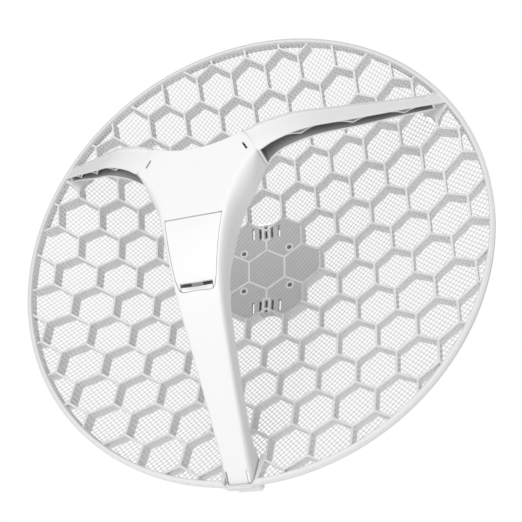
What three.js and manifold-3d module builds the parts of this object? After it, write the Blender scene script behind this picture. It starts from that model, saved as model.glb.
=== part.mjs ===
// Parabolic grid antenna: a round ribbed dish, and a feed head held in front of it by three arms.
// Millimetres, +Z up. The dish opens towards -Y. Shapes are drawn with the dish's vertex as origin,
// and the whole antenna is then moved so that the middle of its rear mounting face is the origin.

import * as THREE from 'three';
import { mergeVertices } from 'three/addons/utils/BufferGeometryUtils.js';
import Module from 'manifold-3d';

const wasm = await Module();
wasm.setup();

// ---- Driving sizes -------------------------------------------------------------------------

const CLEARANCE = 0.3;        // gap between pieces that touch or fit into each other
const OVERLAP = 0.2;          // how far joined shapes reach into each other

// Dish
const DISH_RADIUS = 195.5;
const FOCAL_LENGTH = 158.3;
const RIM_WIDTH = 4;
const RIM_LIP_DEPTH = 6;
const RIM_WALL = 2;
const RIB_DEPTH = 12;
const RIB_WIDTH = 1.4;
const CELL_PITCH = 32.17;
const SCREEN_SETBACK = 0.4;
const SCREEN_THICKNESS = 0.8;

// Centre panel of the dish and the mounting pad behind it
const PANEL_SETBACK = 3.2;
const PANEL_RIDGE = 0.5;
const PANEL_THICKNESS = 3;
const PANEL_FILL_Z = 42;
const BOLT_X = 20.6;
const BOLT_Z = 17.85;
const BOLT_RADIUS = 2;
const BOLT_BOSS_RADIUS = 4;
const SLOT_XS = [-11.8, -5.4, 0, 5.4, 11.8];
const SLOT_WIDTH = 2;
const SLOT_LOW_Z = 29.8;
const SLOT_HIGH_Z = 40.4;
const PAD_WIDTH = 56;
const PAD_HEIGHT = 50;
const PAD_THICKNESS = 4;
const MOUNT_FACE_Y = 18;

// Front line of the head and arms, as a distance in front of the dish's vertex
const HEAD_FRONT_Y = -152.8;
const FLAT_RADIUS = 34.9;
const BEND_RADIUS = 104;
const ARM_SLOPE = THREE.MathUtils.degToRad(37.3);

// Head and bottom arm
const WALL = 2;
const HEAD_REAR_Y = -130;
const SEAM_RADIUS = 47.9;
const SEAM_LOW = THREE.MathUtils.degToRad(16.2);
const SEAM_HIGH = THREE.MathUtils.degToRad(44);
const HEAD_TOP_Z = 25.2;
const HEAD_TOP_ARC = 80.6;
const FOOT_Z = -194.6;
const FOOT_HALF_WIDTH = 9.7;
const FOOT_CORNER = 3;
const FOOT_TOP_Z = -174;
const FOOT_REAR_Y = -34;
const ARM_DEPTH = 17.8;
const FOOT_SLIT_X = 7.3;
const FOOT_SLIT_WIDTH = 0.9;
const FOOT_SLIT_HEIGHT = 8.5;

// Side arms
const SIDE_ARM_ANGLE = THREE.MathUtils.degToRad(30);
const SIDE_ARM_WALL = 1.8;
const TIP_RADIUS = 193.2;
const CHANNEL_END = 181;
const SNAP_SLOT_RADIUS = 41.8;
const SNAP_MIDDLE = -2;
const SNAP_SLOT_LENGTH = 7;
const SNAP_SLOT_WIDTH = 1.5;
const GUSSET_RADII = [84, 116, 148];
const GUSSET_WALL = 1;
const GUSSET_SPREAD = 9;

const SEAT_RADIUS = 174;
const SEAT_BELOW = 11;
const SEAT_ABOVE = 8;

// Cradle for the foot of the bottom arm
const CRADLE_WALL = 6;
const CRADLE_REAR_Y = -36;
const RIM_BOSS_DROP = 2.5;
const RIM_BOSS_HALF_WIDTH = 15;

// Door and latch
const DOOR_TOP_Z = -30.9;
const DOOR_BOTTOM_Z = -82.2;
const DOOR_TOP_HALF_WIDTH = 21.3;
const DOOR_BOTTOM_HALF_WIDTH = 13.6;
const DOOR_CORNER = 5;
const DOOR_THICKNESS = 1.8;
const HINGE_RADIUS = 1.5;
const HINGE_STUB_RADIUS = 0.8;
const HINGE_STUB_LENGTH = 1.6;
const HINGE_SOCKET_WALL = 1.2;
const LATCH_SLOT_HALF_WIDTH = 12;
const LATCH_SLOT_TOP_Z = -76.5;
const LATCH_BAR_TOP_Z = -79.2;
const LATCH_STEM_HALF_WIDTH = 4;
const LATCH_STEM_TOP_Z = -68;
const LATCH_THICKNESS = 1.6;

// Board and what sits on it
const BOARD_FRONT_Y = -136.6;
const BOARD_THICKNESS = 1.6;
const BOARD_TOP_Z = 12;
const BOARD_BOTTOM_Z = -72;
const BOARD_SCREW_X = 24;
const BOARD_SCREW_TOP_Z = 6;
const BOARD_SCREW_LOW_X = 12.5;
const BOARD_SCREW_LOW_Z = -62;
const JACK_WIDTH = 16;
const JACK_LENGTH = 21;
const JACK_DEPTH = 11.6;
const JACK_BOTTOM_Z = -56;
const JACK_WALL = 1.5;
const SHIELD_HEIGHT = 3.5;
const BUTTON_X = 14;
const BUTTON_Z = -44;
const BUTTON_RADIUS = 1.4;
const BUTTON_TRAVEL = 0.4;
const BUTTON_LENGTH = 3.2;
const SWITCH_SIZE = 5;
const SWITCH_HEIGHT = 3;

// Rear cover and feed
const COVER_FRONT_Y = -133.4;
const COVER_THICKNESS = 1.6;
const COVER_BOTTOM_Z = -90;
const RADOME_RADIUS = 26.5;
const RADOME_REAR_Y = -118;
const RADOME_WALL = 1.5;
const RADOME_Z = -5;
const GROUND_PLATE_THICKNESS = 0.8;
const PATCH_THICKNESS = 0.6;
const DRIVEN_PATCH_SIZE = 24;
const PARASITIC_PATCH_SIZE = 20;
const PATCH_SPACING = 4;
const PATCH_POST_OFFSET = 8;
const PATCH_POST_RADIUS = 1.5;
const FEED_PIN_OFFSET = 5;
const FEED_PIN_RADIUS = 0.5;

// Screws
const SCREW_HEAD_RADIUS = 2.4;
const SCREW_HEAD_HEIGHT = 0.9;
const SCREW_RADIUS = 1.1;
const SCREW_LENGTH = 4;
const POST_RADIUS = 3;
const COVER_SCREW_X = 34;
const COVER_SCREW_TOP_Z = 13;
const COVER_SCREW_LOW_X = 9.5;
const COVER_SCREW_LOW_Z = -86;

const FAR = 300;              // reaches past every piece
const ROUND_SIDES = 12;

// ---- Solids --------------------------------------------------------------------------------

// A closed three.js geometry as a solid that can be joined and cut.
function solid(geometry) {
  const bare = geometry.clone();
  bare.deleteAttribute('normal');
  bare.deleteAttribute('uv');
  const merged = mergeVertices(bare, 1e-4);
  return new wasm.Manifold(new wasm.Mesh({
    numProp: 3,
    vertProperties: new Float32Array(merged.attributes.position.array),
    triVerts: new Uint32Array(merged.index.array),
  }));
}

function geometryOf(body) {
  const mesh = body.getMesh();
  const geometry = new THREE.BufferGeometry();
  geometry.setAttribute('position', new THREE.BufferAttribute(mesh.vertProperties, 3));
  geometry.setIndex(new THREE.BufferAttribute(mesh.triVerts, 1));
  return geometry;
}

function join(bodies) {
  return bodies.reduce((all, body) => all.add(body));
}

// The same solid with every point moved along Y by an amount that depends on where it stands.
function shiftedInDepth(body, depthAt) {
  const geometry = geometryOf(body);
  const position = geometry.attributes.position;
  for (let i = 0; i < position.count; i += 1) {
    position.setY(i, position.getY(i) + depthAt(position.getX(i), position.getZ(i)));
  }
  return solid(geometry);
}

function moved(geometry, x, y, z) {
  geometry.translate(x, y, z);
  return geometry;
}

// A box between two corners.
function box(x0, x1, y0, y1, z0, z1) {
  const geometry = new THREE.BoxGeometry(x1 - x0, y1 - y0, z1 - z0);
  return solid(moved(geometry, (x0 + x1) / 2, (y0 + y1) / 2, (z0 + z1) / 2));
}

// An outline drawn in X and Z, as a plate from y0 to y1.
function plate(shape, y0, y1, curveSegments = 6) {
  const depth = y1 - y0;
  const geometry = new THREE.ExtrudeGeometry(shape, { depth, bevelEnabled: false, curveSegments });
  geometry.rotateX(Math.PI / 2);
  return solid(moved(geometry, 0, y1, 0));
}

// A round bar along Y.
function barAlongY(radius, x, z, y0, y1, sides = ROUND_SIDES) {
  const geometry = new THREE.CylinderGeometry(radius, radius, y1 - y0, sides);
  return solid(moved(geometry, x, (y0 + y1) / 2, z));
}

// A round bar along X.
function barAlongX(radius, x0, x1, y, z, sides = ROUND_SIDES) {
  const geometry = new THREE.CylinderGeometry(radius, radius, x1 - x0, sides);
  geometry.rotateZ(Math.PI / 2);
  return solid(moved(geometry, (x0 + x1) / 2, y, z));
}

// A profile of radius and depth, turned about the dish's axis.
function turned(profile, sides) {
  return solid(new THREE.LatheGeometry(profile, sides));
}

function outline(points) {
  return new THREE.Shape(points.map(([x, z]) => new THREE.Vector2(x, z)));
}

function hexagon(x, z, radius) {
  const points = [];
  for (let corner = 0; corner < 6; corner += 1) {
    const angle = corner * Math.PI / 3;
    points.push([x + radius * Math.sin(angle), z + radius * Math.cos(angle)]);
  }
  return outline(points);
}

// ---- Curves shared by several pieces ---------------------------------------------------------

// The dish's reflecting surface.
function dishDepth(x, z) {
  return -(x * x + z * z) / (4 * FOCAL_LENGTH);
}

const BEND_END = FLAT_RADIUS + BEND_RADIUS * Math.sin(ARM_SLOPE);
const BEND_END_Y = HEAD_FRONT_Y + BEND_RADIUS * (1 - Math.cos(ARM_SLOPE));

// The front line of the head and the arms: flat, then bent, then straight down to the rim.
function frontLine(radius) {
  if (radius < FLAT_RADIUS) {
    return HEAD_FRONT_Y;
  }
  if (radius < BEND_END) {
    const across = radius - FLAT_RADIUS;
    return HEAD_FRONT_Y + BEND_RADIUS - Math.sqrt(BEND_RADIUS ** 2 - across ** 2);
  }
  return BEND_END_Y + (radius - BEND_END) * Math.tan(ARM_SLOPE);
}

// Everything behind the front line, or behind it and deeper by an inset.
function behindFrontLine(inset, sides = 60) {
  const profile = [new THREE.Vector2(0, HEAD_FRONT_Y + inset)];
  const bendSteps = 8;
  for (let step = 0; step <= bendSteps; step += 1) {
    const angle = ARM_SLOPE * step / bendSteps;
    const radius = FLAT_RADIUS + (BEND_RADIUS - inset) * Math.sin(angle);
    const y = HEAD_FRONT_Y + BEND_RADIUS - (BEND_RADIUS - inset) * Math.cos(angle);
    profile.push(new THREE.Vector2(radius, y));
  }
  const end = profile[profile.length - 1];
  profile.push(new THREE.Vector2(FAR, end.y + (FAR - end.x) * Math.tan(ARM_SLOPE)));
  profile.push(new THREE.Vector2(FAR, FAR));
  profile.push(new THREE.Vector2(0, FAR));
  return turned(profile, sides);
}

// Half the width of the bottom arm, from the seam down to the foot.
function armSide(inset) {
  return new THREE.SplineCurve([
    new THREE.Vector2(46 - inset, 13.4),
    new THREE.Vector2(38.4 - inset, -5),
    new THREE.Vector2(30.4 - inset, -20),
    new THREE.Vector2(25.6 - inset, -33),
    new THREE.Vector2(21.9 - inset, -50),
    new THREE.Vector2(17.6 - inset, -75),
    new THREE.Vector2(14.3 - inset, -105),
    new THREE.Vector2(11.7 - inset, -140),
    new THREE.Vector2(FOOT_HALF_WIDTH + 0.5 - inset, FOOT_TOP_Z),
    new THREE.Vector2(FOOT_HALF_WIDTH - inset, FOOT_Z + FOOT_CORNER),
  ]);
}

// Front view of the head and the bottom arm, drawn smaller by an inset.
function headOutline(inset) {
  const side = armSide(inset).getPoints(24).map((point) => [point.x, point.y]);
  const foot = [];
  const seam = [];
  const top = [];
  const cornerSteps = 3;
  const corner = FOOT_CORNER - inset;
  for (let step = 0; step <= cornerSteps; step += 1) {
    const angle = Math.PI / 2 * step / cornerSteps;
    const x = FOOT_HALF_WIDTH - FOOT_CORNER + corner * Math.sin(angle);
    foot.push([x, FOOT_Z + FOOT_CORNER - corner * Math.cos(angle)]);
  }
  const seamSteps = 5;
  for (let step = 1; step <= seamSteps; step += 1) {
    const angle = THREE.MathUtils.lerp(SEAM_LOW, SEAM_HIGH, step / seamSteps);
    const radius = SEAM_RADIUS - inset;
    seam.push([radius * Math.cos(angle) - inset / 2, radius * Math.sin(angle) - inset / 2]);
  }
  const reach = seam[seamSteps - 1][0];
  const topSteps = 6;
  for (let step = 1; step <= topSteps; step += 1) {
    const x = reach * (1 - step / topSteps);
    const arcHeight = HEAD_TOP_ARC - Math.sqrt(HEAD_TOP_ARC ** 2 - x * x);
    top.push([x, HEAD_TOP_Z - inset + arcHeight]);
  }
  const right = [...foot, ...side.reverse().slice(1), ...seam, ...top];
  const left = right.slice(0, -1).reverse().map(([x, z]) => [-x, z]);
  return outline([...right, ...left]);
}

// A side arm seen from the front, in its own frame: X runs out along the arm, Z is up across it.
// It reaches from one radius to another, and each long edge can be drawn further in.
function sideArmPrism(lowerInset, upperInset, rootRadius, endRadius) {
  const lower = new THREE.SplineCurve([
    new THREE.Vector2(36, -8 + lowerInset),
    new THREE.Vector2(47, -11.6 + lowerInset),
    new THREE.Vector2(62, -13.2 + lowerInset),
    new THREE.Vector2(90, -12.6 + lowerInset),
    new THREE.Vector2(120, -11 + lowerInset),
    new THREE.Vector2(160, -9 + lowerInset),
    new THREE.Vector2(200, -6.2 + lowerInset),
  ]).getPoints(20);
  const upper = new THREE.SplineCurve([
    new THREE.Vector2(36, 16 - upperInset),
    new THREE.Vector2(47, 11.6 - upperInset),
    new THREE.Vector2(60, 8.8 - upperInset),
    new THREE.Vector2(80, 6.9 - upperInset),
    new THREE.Vector2(105, 5.6 - upperInset),
    new THREE.Vector2(140, 5.2 - upperInset),
    new THREE.Vector2(200, 4.3 - upperInset),
  ]).getPoints(20);
  const loop = [...lower, ...upper.reverse()].map((point) => [point.x, point.y]);
  const outer = barAlongY(endRadius, 0, 0, -FAR, FAR, 120);
  const inner = barAlongY(rootRadius, 0, 0, -2 * FAR, 2 * FAR, 120);
  return plate(outline(loop), -FAR + 1, FAR - 1).intersect(outer).subtract(inner);
}

// The side view of what lies in front of a side arm's rear edge.
function beforeSideArmRear(inset) {
  const rear = new THREE.SplineCurve([
    new THREE.Vector2(40, HEAD_REAR_Y - inset),
    new THREE.Vector2(48, HEAD_REAR_Y - inset),
    new THREE.Vector2(54, -135 - inset),
    new THREE.Vector2(62, -137.2 - inset),
    new THREE.Vector2(74, -134.6 - inset),
    new THREE.Vector2(90, -126.5 - inset),
    new THREE.Vector2(120, -104.4 - inset),
    new THREE.Vector2(150, -83.2 - inset),
    new THREE.Vector2(198, -47.2 - inset),
  ]).getPoints(28);
  const shape = new THREE.Shape();
  shape.moveTo(40, -FAR);
  rear.forEach((point) => shape.lineTo(point.x, point.y));
  shape.lineTo(198, -FAR);
  const depth = 2 * SEAM_RADIUS;
  const geometry = new THREE.ExtrudeGeometry(shape, { depth, bevelEnabled: false });
  return solid(moved(geometry, 0, 0, -depth / 2));
}

// The side view of what lies in front of the head's and the bottom arm's rear edge.
function beforeBottomArmRear() {
  const shape = new THREE.Shape();
  const footRadius = -FOOT_TOP_Z;
  shape.moveTo(-FAR, 60);
  shape.lineTo(HEAD_REAR_Y, 60);
  shape.lineTo(HEAD_REAR_Y, -52);
  shape.quadraticCurveTo(HEAD_REAR_Y, -62, frontLine(78) + ARM_DEPTH, -78);
  shape.lineTo(frontLine(footRadius - 8) + ARM_DEPTH, -(footRadius - 8));
  shape.quadraticCurveTo(frontLine(footRadius) + ARM_DEPTH + 2, FOOT_TOP_Z, FOOT_REAR_Y, -188);
  shape.lineTo(FOOT_REAR_Y, -210);
  shape.lineTo(-FAR, -210);
  const depth = 4 * SEAM_RADIUS;
  const geometry = new THREE.ExtrudeGeometry(shape, { depth, bevelEnabled: false, curveSegments: 8 });
  geometry.rotateX(Math.PI / 2);
  geometry.rotateZ(Math.PI / 2);
  return solid(moved(geometry, -depth / 2, 0, 0));
}

// Turns a shape drawn in the side arm's frame to where the right-hand arm stands.
function onRightArm(body) {
  return solid(geometryOf(body).rotateY(-SIDE_ARM_ANGLE));
}

// The same solid on the other side of the middle plane.
function mirrored(body) {
  const geometry = geometryOf(body);
  const position = geometry.attributes.position;
  for (let i = 0; i < position.count; i += 1) {
    position.setX(i, -position.getX(i));
  }
  const index = geometry.index;
  for (let i = 0; i < index.count; i += 3) {
    const first = index.getX(i);
    index.setX(i, index.getX(i + 1));
    index.setX(i + 1, first);
  }
  return solid(geometry);
}

function bothSides(body) {
  return body.add(mirrored(body));
}

// ---- Dish ------------------------------------------------------------------------------------

const CELL_RADIUS = CELL_PITCH / Math.sqrt(3);
const POCKET_RADIUS = (CELL_PITCH - RIB_WIDTH) / Math.sqrt(3);
const RIM_INNER = DISH_RADIUS - RIM_WIDTH;
const RIM_FRONT_Y = dishDepth(DISH_RADIUS, 0);
const RIM_REAR_Y = dishDepth(RIM_INNER, 0) + RIB_DEPTH;

// Middles of the cells whose middle is nearer to the axis than a limit.
function cellMiddles(limit) {
  const middles = [];
  const rows = Math.ceil(limit / (1.5 * CELL_RADIUS));
  for (let row = -rows; row <= rows; row += 1) {
    for (let column = -rows; column <= rows; column += 1) {
      const x = (column + (row % 2 === 0 ? 0 : 0.5)) * CELL_PITCH;
      const z = row * 1.5 * CELL_RADIUS;
      if (Math.hypot(x, z) < limit) {
        middles.push([x, z]);
      }
    }
  }
  return middles;
}

function cellPrisms(middles, radius, y0, y1) {
  return join(middles.map(([x, z]) => plate(hexagon(x, z, radius), y0, y1)));
}

// The solid seats for the arm tips and the cradle for the foot, before they are curved.
function flatSeats() {
  const tipSeat = box(SEAT_RADIUS, DISH_RADIUS, -RIB_DEPTH, 2 * RIB_DEPTH, -SEAT_BELOW, SEAT_ABOVE);
  const half = FOOT_HALF_WIDTH + CRADLE_WALL;
  const cradle = box(-half, half, -RIB_DEPTH, 2 * RIB_DEPTH, -DISH_RADIUS, FOOT_TOP_Z + CRADLE_WALL / 2);
  return bothSides(onRightArm(tipSeat)).add(cradle);
}

// The ribs and the screen, drawn flat with a hole for the panel and then curved to the dish.
function ribsAndScreen() {
  const panelMiddles = cellMiddles(CELL_PITCH * 1.1);
  const middles = cellMiddles(RIM_INNER + CELL_RADIUS * 0.6);
  const disc = barAlongY(RIM_INNER + OVERLAP, 0, 0, 0, RIB_DEPTH, 96);
  const within = barAlongY(RIM_INNER, 0, 0, -FAR, FAR, 96);
  const keep = within.subtract(flatSeats());
  const front = cellPrisms(middles, POCKET_RADIUS, -1, SCREEN_SETBACK).intersect(keep);
  const rearStart = SCREEN_SETBACK + SCREEN_THICKNESS;
  const rear = cellPrisms(middles, POCKET_RADIUS, rearStart, RIB_DEPTH + 1).intersect(keep);
  const hole = cellPrisms(panelMiddles, CELL_RADIUS, -FAR, FAR);
  return shiftedInDepth(disc.subtract(front).subtract(rear).subtract(hole), dishDepth);
}

function centrePanel() {
  const middles = cellMiddles(CELL_PITCH * 1.1);
  const outer = cellPrisms(middles, CELL_RADIUS + RIB_WIDTH / Math.sqrt(3), 0, RIB_DEPTH);
  const front = cellPrisms(middles, POCKET_RADIUS, -1, PANEL_RIDGE);
  const outerMiddles = middles.filter(([x, z]) => Math.hypot(x, z) > CELL_RADIUS);
  const rear = cellPrisms(outerMiddles, POCKET_RADIUS, PANEL_THICKNESS, RIB_DEPTH + 1);
  const fillWidth = (PANEL_FILL_Z - 2 * CELL_RADIUS) * Math.sqrt(3);
  const fill = box(-fillWidth, fillWidth, 0, PANEL_THICKNESS, 2 * CELL_RADIUS - 2, PANEL_FILL_Z);
  const fillBelow = box(-fillWidth, fillWidth, 0, PANEL_THICKNESS, -PANEL_FILL_Z, 2 - 2 * CELL_RADIUS);
  const flat = outer.subtract(front).subtract(rear).add(fill).add(fillBelow);
  const depthAt = (x, z) => dishDepth(x, z) + PANEL_SETBACK;
  return shiftedInDepth(flat, depthAt);
}

function boltPlaces() {
  return [[BOLT_X, BOLT_Z], [-BOLT_X, BOLT_Z], [-BOLT_X, -BOLT_Z], [BOLT_X, -BOLT_Z]];
}

// The flat face that a bracket is screwed to, on four bosses that run through to the panel.
function mountingPad() {
  const padFront = MOUNT_FACE_Y - PAD_THICKNESS;
  const half = PAD_WIDTH / 2;
  const pad = box(-half, half, padFront, MOUNT_FACE_Y, -PAD_HEIGHT / 2, PAD_HEIGHT / 2);
  const bosses = boltPlaces().map(([x, z]) => {
    const front = dishDepth(x, z) + PANEL_SETBACK;
    return barAlongY(BOLT_BOSS_RADIUS, x, z, front, MOUNT_FACE_Y - 1);
  });
  return join([pad, ...bosses]);
}

function panelHoles() {
  const bolts = boltPlaces().map(([x, z]) => barAlongY(BOLT_RADIUS, x, z, -FAR, FAR));
  const slots = [];
  for (const x of SLOT_XS) {
    for (const low of [SLOT_LOW_Z, -SLOT_HIGH_Z]) {
      const high = low + SLOT_HIGH_Z - SLOT_LOW_Z;
      slots.push(box(x - SLOT_WIDTH / 2, x + SLOT_WIDTH / 2, -FAR, FAR, low, high));
    }
  }
  return join([...bolts, ...slots]);
}

function rim() {
  const profile = [
    new THREE.Vector2(RIM_INNER, RIM_FRONT_Y),
    new THREE.Vector2(DISH_RADIUS, RIM_FRONT_Y),
    new THREE.Vector2(DISH_RADIUS, RIM_FRONT_Y + RIM_LIP_DEPTH),
    new THREE.Vector2(RIM_INNER + RIM_WALL, RIM_FRONT_Y + RIM_LIP_DEPTH),
    new THREE.Vector2(RIM_INNER + RIM_WALL, RIM_REAR_Y),
    new THREE.Vector2(RIM_INNER, RIM_REAR_Y),
    new THREE.Vector2(RIM_INNER, RIM_FRONT_Y),
  ];
  return turned(profile, 96);
}

// The walls around the foot behind the ribs, and the thicker rim under it.
function cradle() {
  const half = FOOT_HALF_WIDTH + CRADLE_WALL / 2;
  const frontY = dishDepth(0, DISH_RADIUS) + RIB_DEPTH - 2;
  const walls = box(-half, half, frontY, CRADLE_REAR_Y, FOOT_Z - 0.5, FOOT_TOP_Z + CRADLE_WALL / 2);
  const bossHalf = RIM_BOSS_HALF_WIDTH;
  const bossTop = -DISH_RADIUS + RIM_WIDTH / 2;
  const bossLow = -DISH_RADIUS - RIM_BOSS_DROP;
  const boss = box(-bossHalf, bossHalf, RIM_FRONT_Y, RIM_FRONT_Y + RIM_LIP_DEPTH, bossLow, bossTop);
  return walls.add(boss);
}

// Room for the foot of the bottom arm.
function footRoom() {
  const low = box(-FAR, FAR, -FAR, FAR, -FAR, FOOT_TOP_Z + CLEARANCE);
  return plate(headOutline(-CLEARANCE), -FAR, FAR).intersect(low);
}

// Room for the tip of a side arm, from its front to just behind its front plate.
function tipRoom() {
  const prism = sideArmPrism(-CLEARANCE, -CLEARANCE, SEAT_RADIUS - 9, TIP_RADIUS + CLEARANCE);
  return prism.subtract(behindFrontLine(SIDE_ARM_WALL + CLEARANCE));
}

function reflector() {
  const body = join([ribsAndScreen(), centrePanel(), mountingPad(), rim(), cradle()]);
  const rooms = [panelHoles(), footRoom(), onRightArm(tipRoom()), mirrored(onRightArm(tipRoom()))];
  return body.subtract(join(rooms));
}

// ---- Head and bottom arm -----------------------------------------------------------------------

function postPlaces() {
  return {
    board: [
      [BOARD_SCREW_X, BOARD_SCREW_TOP_Z],
      [-BOARD_SCREW_X, BOARD_SCREW_TOP_Z],
      [BOARD_SCREW_LOW_X, BOARD_SCREW_LOW_Z],
      [-BOARD_SCREW_LOW_X, BOARD_SCREW_LOW_Z],
    ],
    cover: [
      [COVER_SCREW_X, COVER_SCREW_TOP_Z],
      [-COVER_SCREW_X, COVER_SCREW_TOP_Z],
      [COVER_SCREW_LOW_X, COVER_SCREW_LOW_Z],
      [-COVER_SCREW_LOW_X, COVER_SCREW_LOW_Z],
    ],
  };
}

// A post inside the front wall, with a blind hole for its screw.
function post(x, z, endY) {
  const behindDoor = z < DOOR_TOP_Z && z > DOOR_BOTTOM_Z;
  const startY = behindDoor ? endY - POST_RADIUS : HEAD_FRONT_Y;
  const outer = barAlongY(POST_RADIUS, x, z, startY, endY);
  const holeDepth = SCREW_LENGTH - COVER_THICKNESS;
  const hole = barAlongY(SCREW_RADIUS + CLEARANCE, x, z, endY - holeDepth, endY + 1);
  return outer.intersect(behindFrontLine(WALL / 2)).subtract(hole);
}

// The door seen from the front: straight tapered sides, round lower corners.
function doorOutline(grow) {
  const top = HINGE_Z;
  const low = DOOR_BOTTOM_Z - grow;
  const corner = DOOR_CORNER + grow;
  const slope = (DOOR_TOP_HALF_WIDTH - DOOR_BOTTOM_HALF_WIDTH) / (DOOR_TOP_Z - DOOR_BOTTOM_Z);
  const half = (z) => DOOR_BOTTOM_HALF_WIDTH + grow + slope * (z - DOOR_BOTTOM_Z);
  const shape = new THREE.Shape();
  shape.moveTo(-half(top), top);
  shape.lineTo(-half(low + corner), low + corner);
  shape.quadraticCurveTo(-half(low), low, -half(low) + corner, low);
  shape.lineTo(half(low) - corner, low);
  shape.quadraticCurveTo(half(low), low, half(low + corner), low + corner);
  shape.lineTo(half(top), top);
  return shape;
}

const HINGE_Z = DOOR_TOP_Z - HINGE_RADIUS;
const HINGE_Y = HEAD_FRONT_Y + HINGE_RADIUS;
const HINGE_HALF = DOOR_TOP_HALF_WIDTH - 0.2;

// Everything that is cut out of the front wall for the door, its hinge and its latch.
function doorRoom() {
  const panel = plate(doorOutline(CLEARANCE), -FAR, COVER_FRONT_Y - 2);
  const barrelTop = DOOR_TOP_Z + CLEARANCE;
  const half = HINGE_HALF + CLEARANCE;
  const barrel = box(-half, half, -FAR, HINGE_Y + HINGE_RADIUS + 1, HINGE_Z - 1, barrelTop);
  return panel.add(barrel);
}

// Sockets in which the door's two stub pins turn, beside the top of the opening.
function hingeSockets() {
  const x0 = HINGE_HALF + CLEARANCE;
  const x1 = x0 + HINGE_STUB_LENGTH + CLEARANCE + HINGE_SOCKET_WALL;
  const radius = HINGE_STUB_RADIUS + CLEARANCE;
  const reach = radius + HINGE_SOCKET_WALL;
  const block = box(x0, x1, HINGE_Y - 1, HINGE_Y + reach, HINGE_Z - reach, HINGE_Z + reach);
  const bore = barAlongX(radius, x0 - 1, x1 - HINGE_SOCKET_WALL, HINGE_Y, HINGE_Z);
  return { blocks: bothSides(block), bores: bothSides(bore) };
}

function snapSlot() {
  const low = SNAP_MIDDLE - SNAP_SLOT_LENGTH / 2;
  const x0 = SNAP_SLOT_RADIUS - SNAP_SLOT_WIDTH / 2;
  return box(x0, x0 + SNAP_SLOT_WIDTH, -FAR, HEAD_FRONT_Y + WALL + 2, low, low + SNAP_SLOT_LENGTH);
}

// The tongue of a side arm that reaches through the head's wall and hooks into the snap slot.
function tongue(grow) {
  const half = SNAP_SLOT_LENGTH / 2 - CLEARANCE + grow;
  const y0 = frontLine(SEAM_RADIUS) + WALL + CLEARANCE - grow;
  const y1 = y0 + SIDE_ARM_WALL + 2 * grow;
  const x0 = SNAP_SLOT_RADIUS - 2 - grow;
  const x1 = SEAM_RADIUS + SIDE_ARM_WALL + 1;
  return box(x0, x1, y0, y1, SNAP_MIDDLE - half, SNAP_MIDDLE + half);
}

function footSlits() {
  const y1 = frontLine(-FOOT_Z) + WALL + 1;
  const top = FOOT_Z + FOOT_SLIT_HEIGHT;
  const slit = box(FOOT_SLIT_X, FOOT_SLIT_X + FOOT_SLIT_WIDTH, -FAR, y1, FOOT_Z - 1, top);
  return bothSides(slit);
}

function frontShell() {
  const outer = plate(headOutline(0), -FAR, FAR)
    .intersect(behindFrontLine(0))
    .intersect(beforeBottomArmRear());
  const inner = plate(headOutline(WALL), -FAR - 1, FAR + 1).intersect(behindFrontLine(WALL));
  const places = postPlaces();
  const posts = [
    ...places.board.map(([x, z]) => post(x, z, BOARD_FRONT_Y - CLEARANCE)),
    ...places.cover.map(([x, z]) => post(x, z, COVER_FRONT_Y - CLEARANCE)),
  ];
  const sockets = hingeSockets();
  const socketBlocks = sockets.blocks.intersect(behindFrontLine(WALL / 2));
  const ledges = bothSides(boardLedge()).intersect(outer);
  const arms = onRightArm(join([snapSlot(), tongue(CLEARANCE)]));
  const wallsAndBlocks = join([outer.subtract(inner), socketBlocks]).subtract(doorRoom());
  const cuts = join([sockets.bores, bothSides(arms), footSlits()]);
  return join([wallsAndBlocks, ledges, ...posts]).subtract(cuts);
}

// A ledge from the side wall that carries a lower board post behind the door.
function boardLedge() {
  const back = BOARD_FRONT_Y - CLEARANCE;
  const x0 = BOARD_SCREW_LOW_X + SCREW_RADIUS + 2 * CLEARANCE;
  const low = BOARD_SCREW_LOW_Z - POST_RADIUS / 2;
  return box(x0, SEAM_RADIUS, back - POST_RADIUS, back, low, low + POST_RADIUS);
}

// ---- Side arms -----------------------------------------------------------------------------------

// Two thin walls in a V between the arm's front and rear plates.
function gusset(radius) {
  const shape = new THREE.Shape();
  const front = frontLine(radius) - GUSSET_SPREAD;
  const apex = frontLine(radius) + 9;
  shape.moveTo(radius - 2 * GUSSET_SPREAD, front);
  shape.lineTo(radius, apex);
  shape.lineTo(radius + 2 * GUSSET_SPREAD, front);
  shape.lineTo(radius + 2 * GUSSET_SPREAD - 2 * GUSSET_WALL, front);
  shape.lineTo(radius, apex - 2 * GUSSET_WALL);
  shape.lineTo(radius - 2 * GUSSET_SPREAD + 2 * GUSSET_WALL, front);
  const depth = 2 * SEAM_RADIUS;
  const geometry = new THREE.ExtrudeGeometry(shape, { depth, bevelEnabled: false });
  return solid(moved(geometry, 0, 0, -depth / 2));
}

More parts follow.
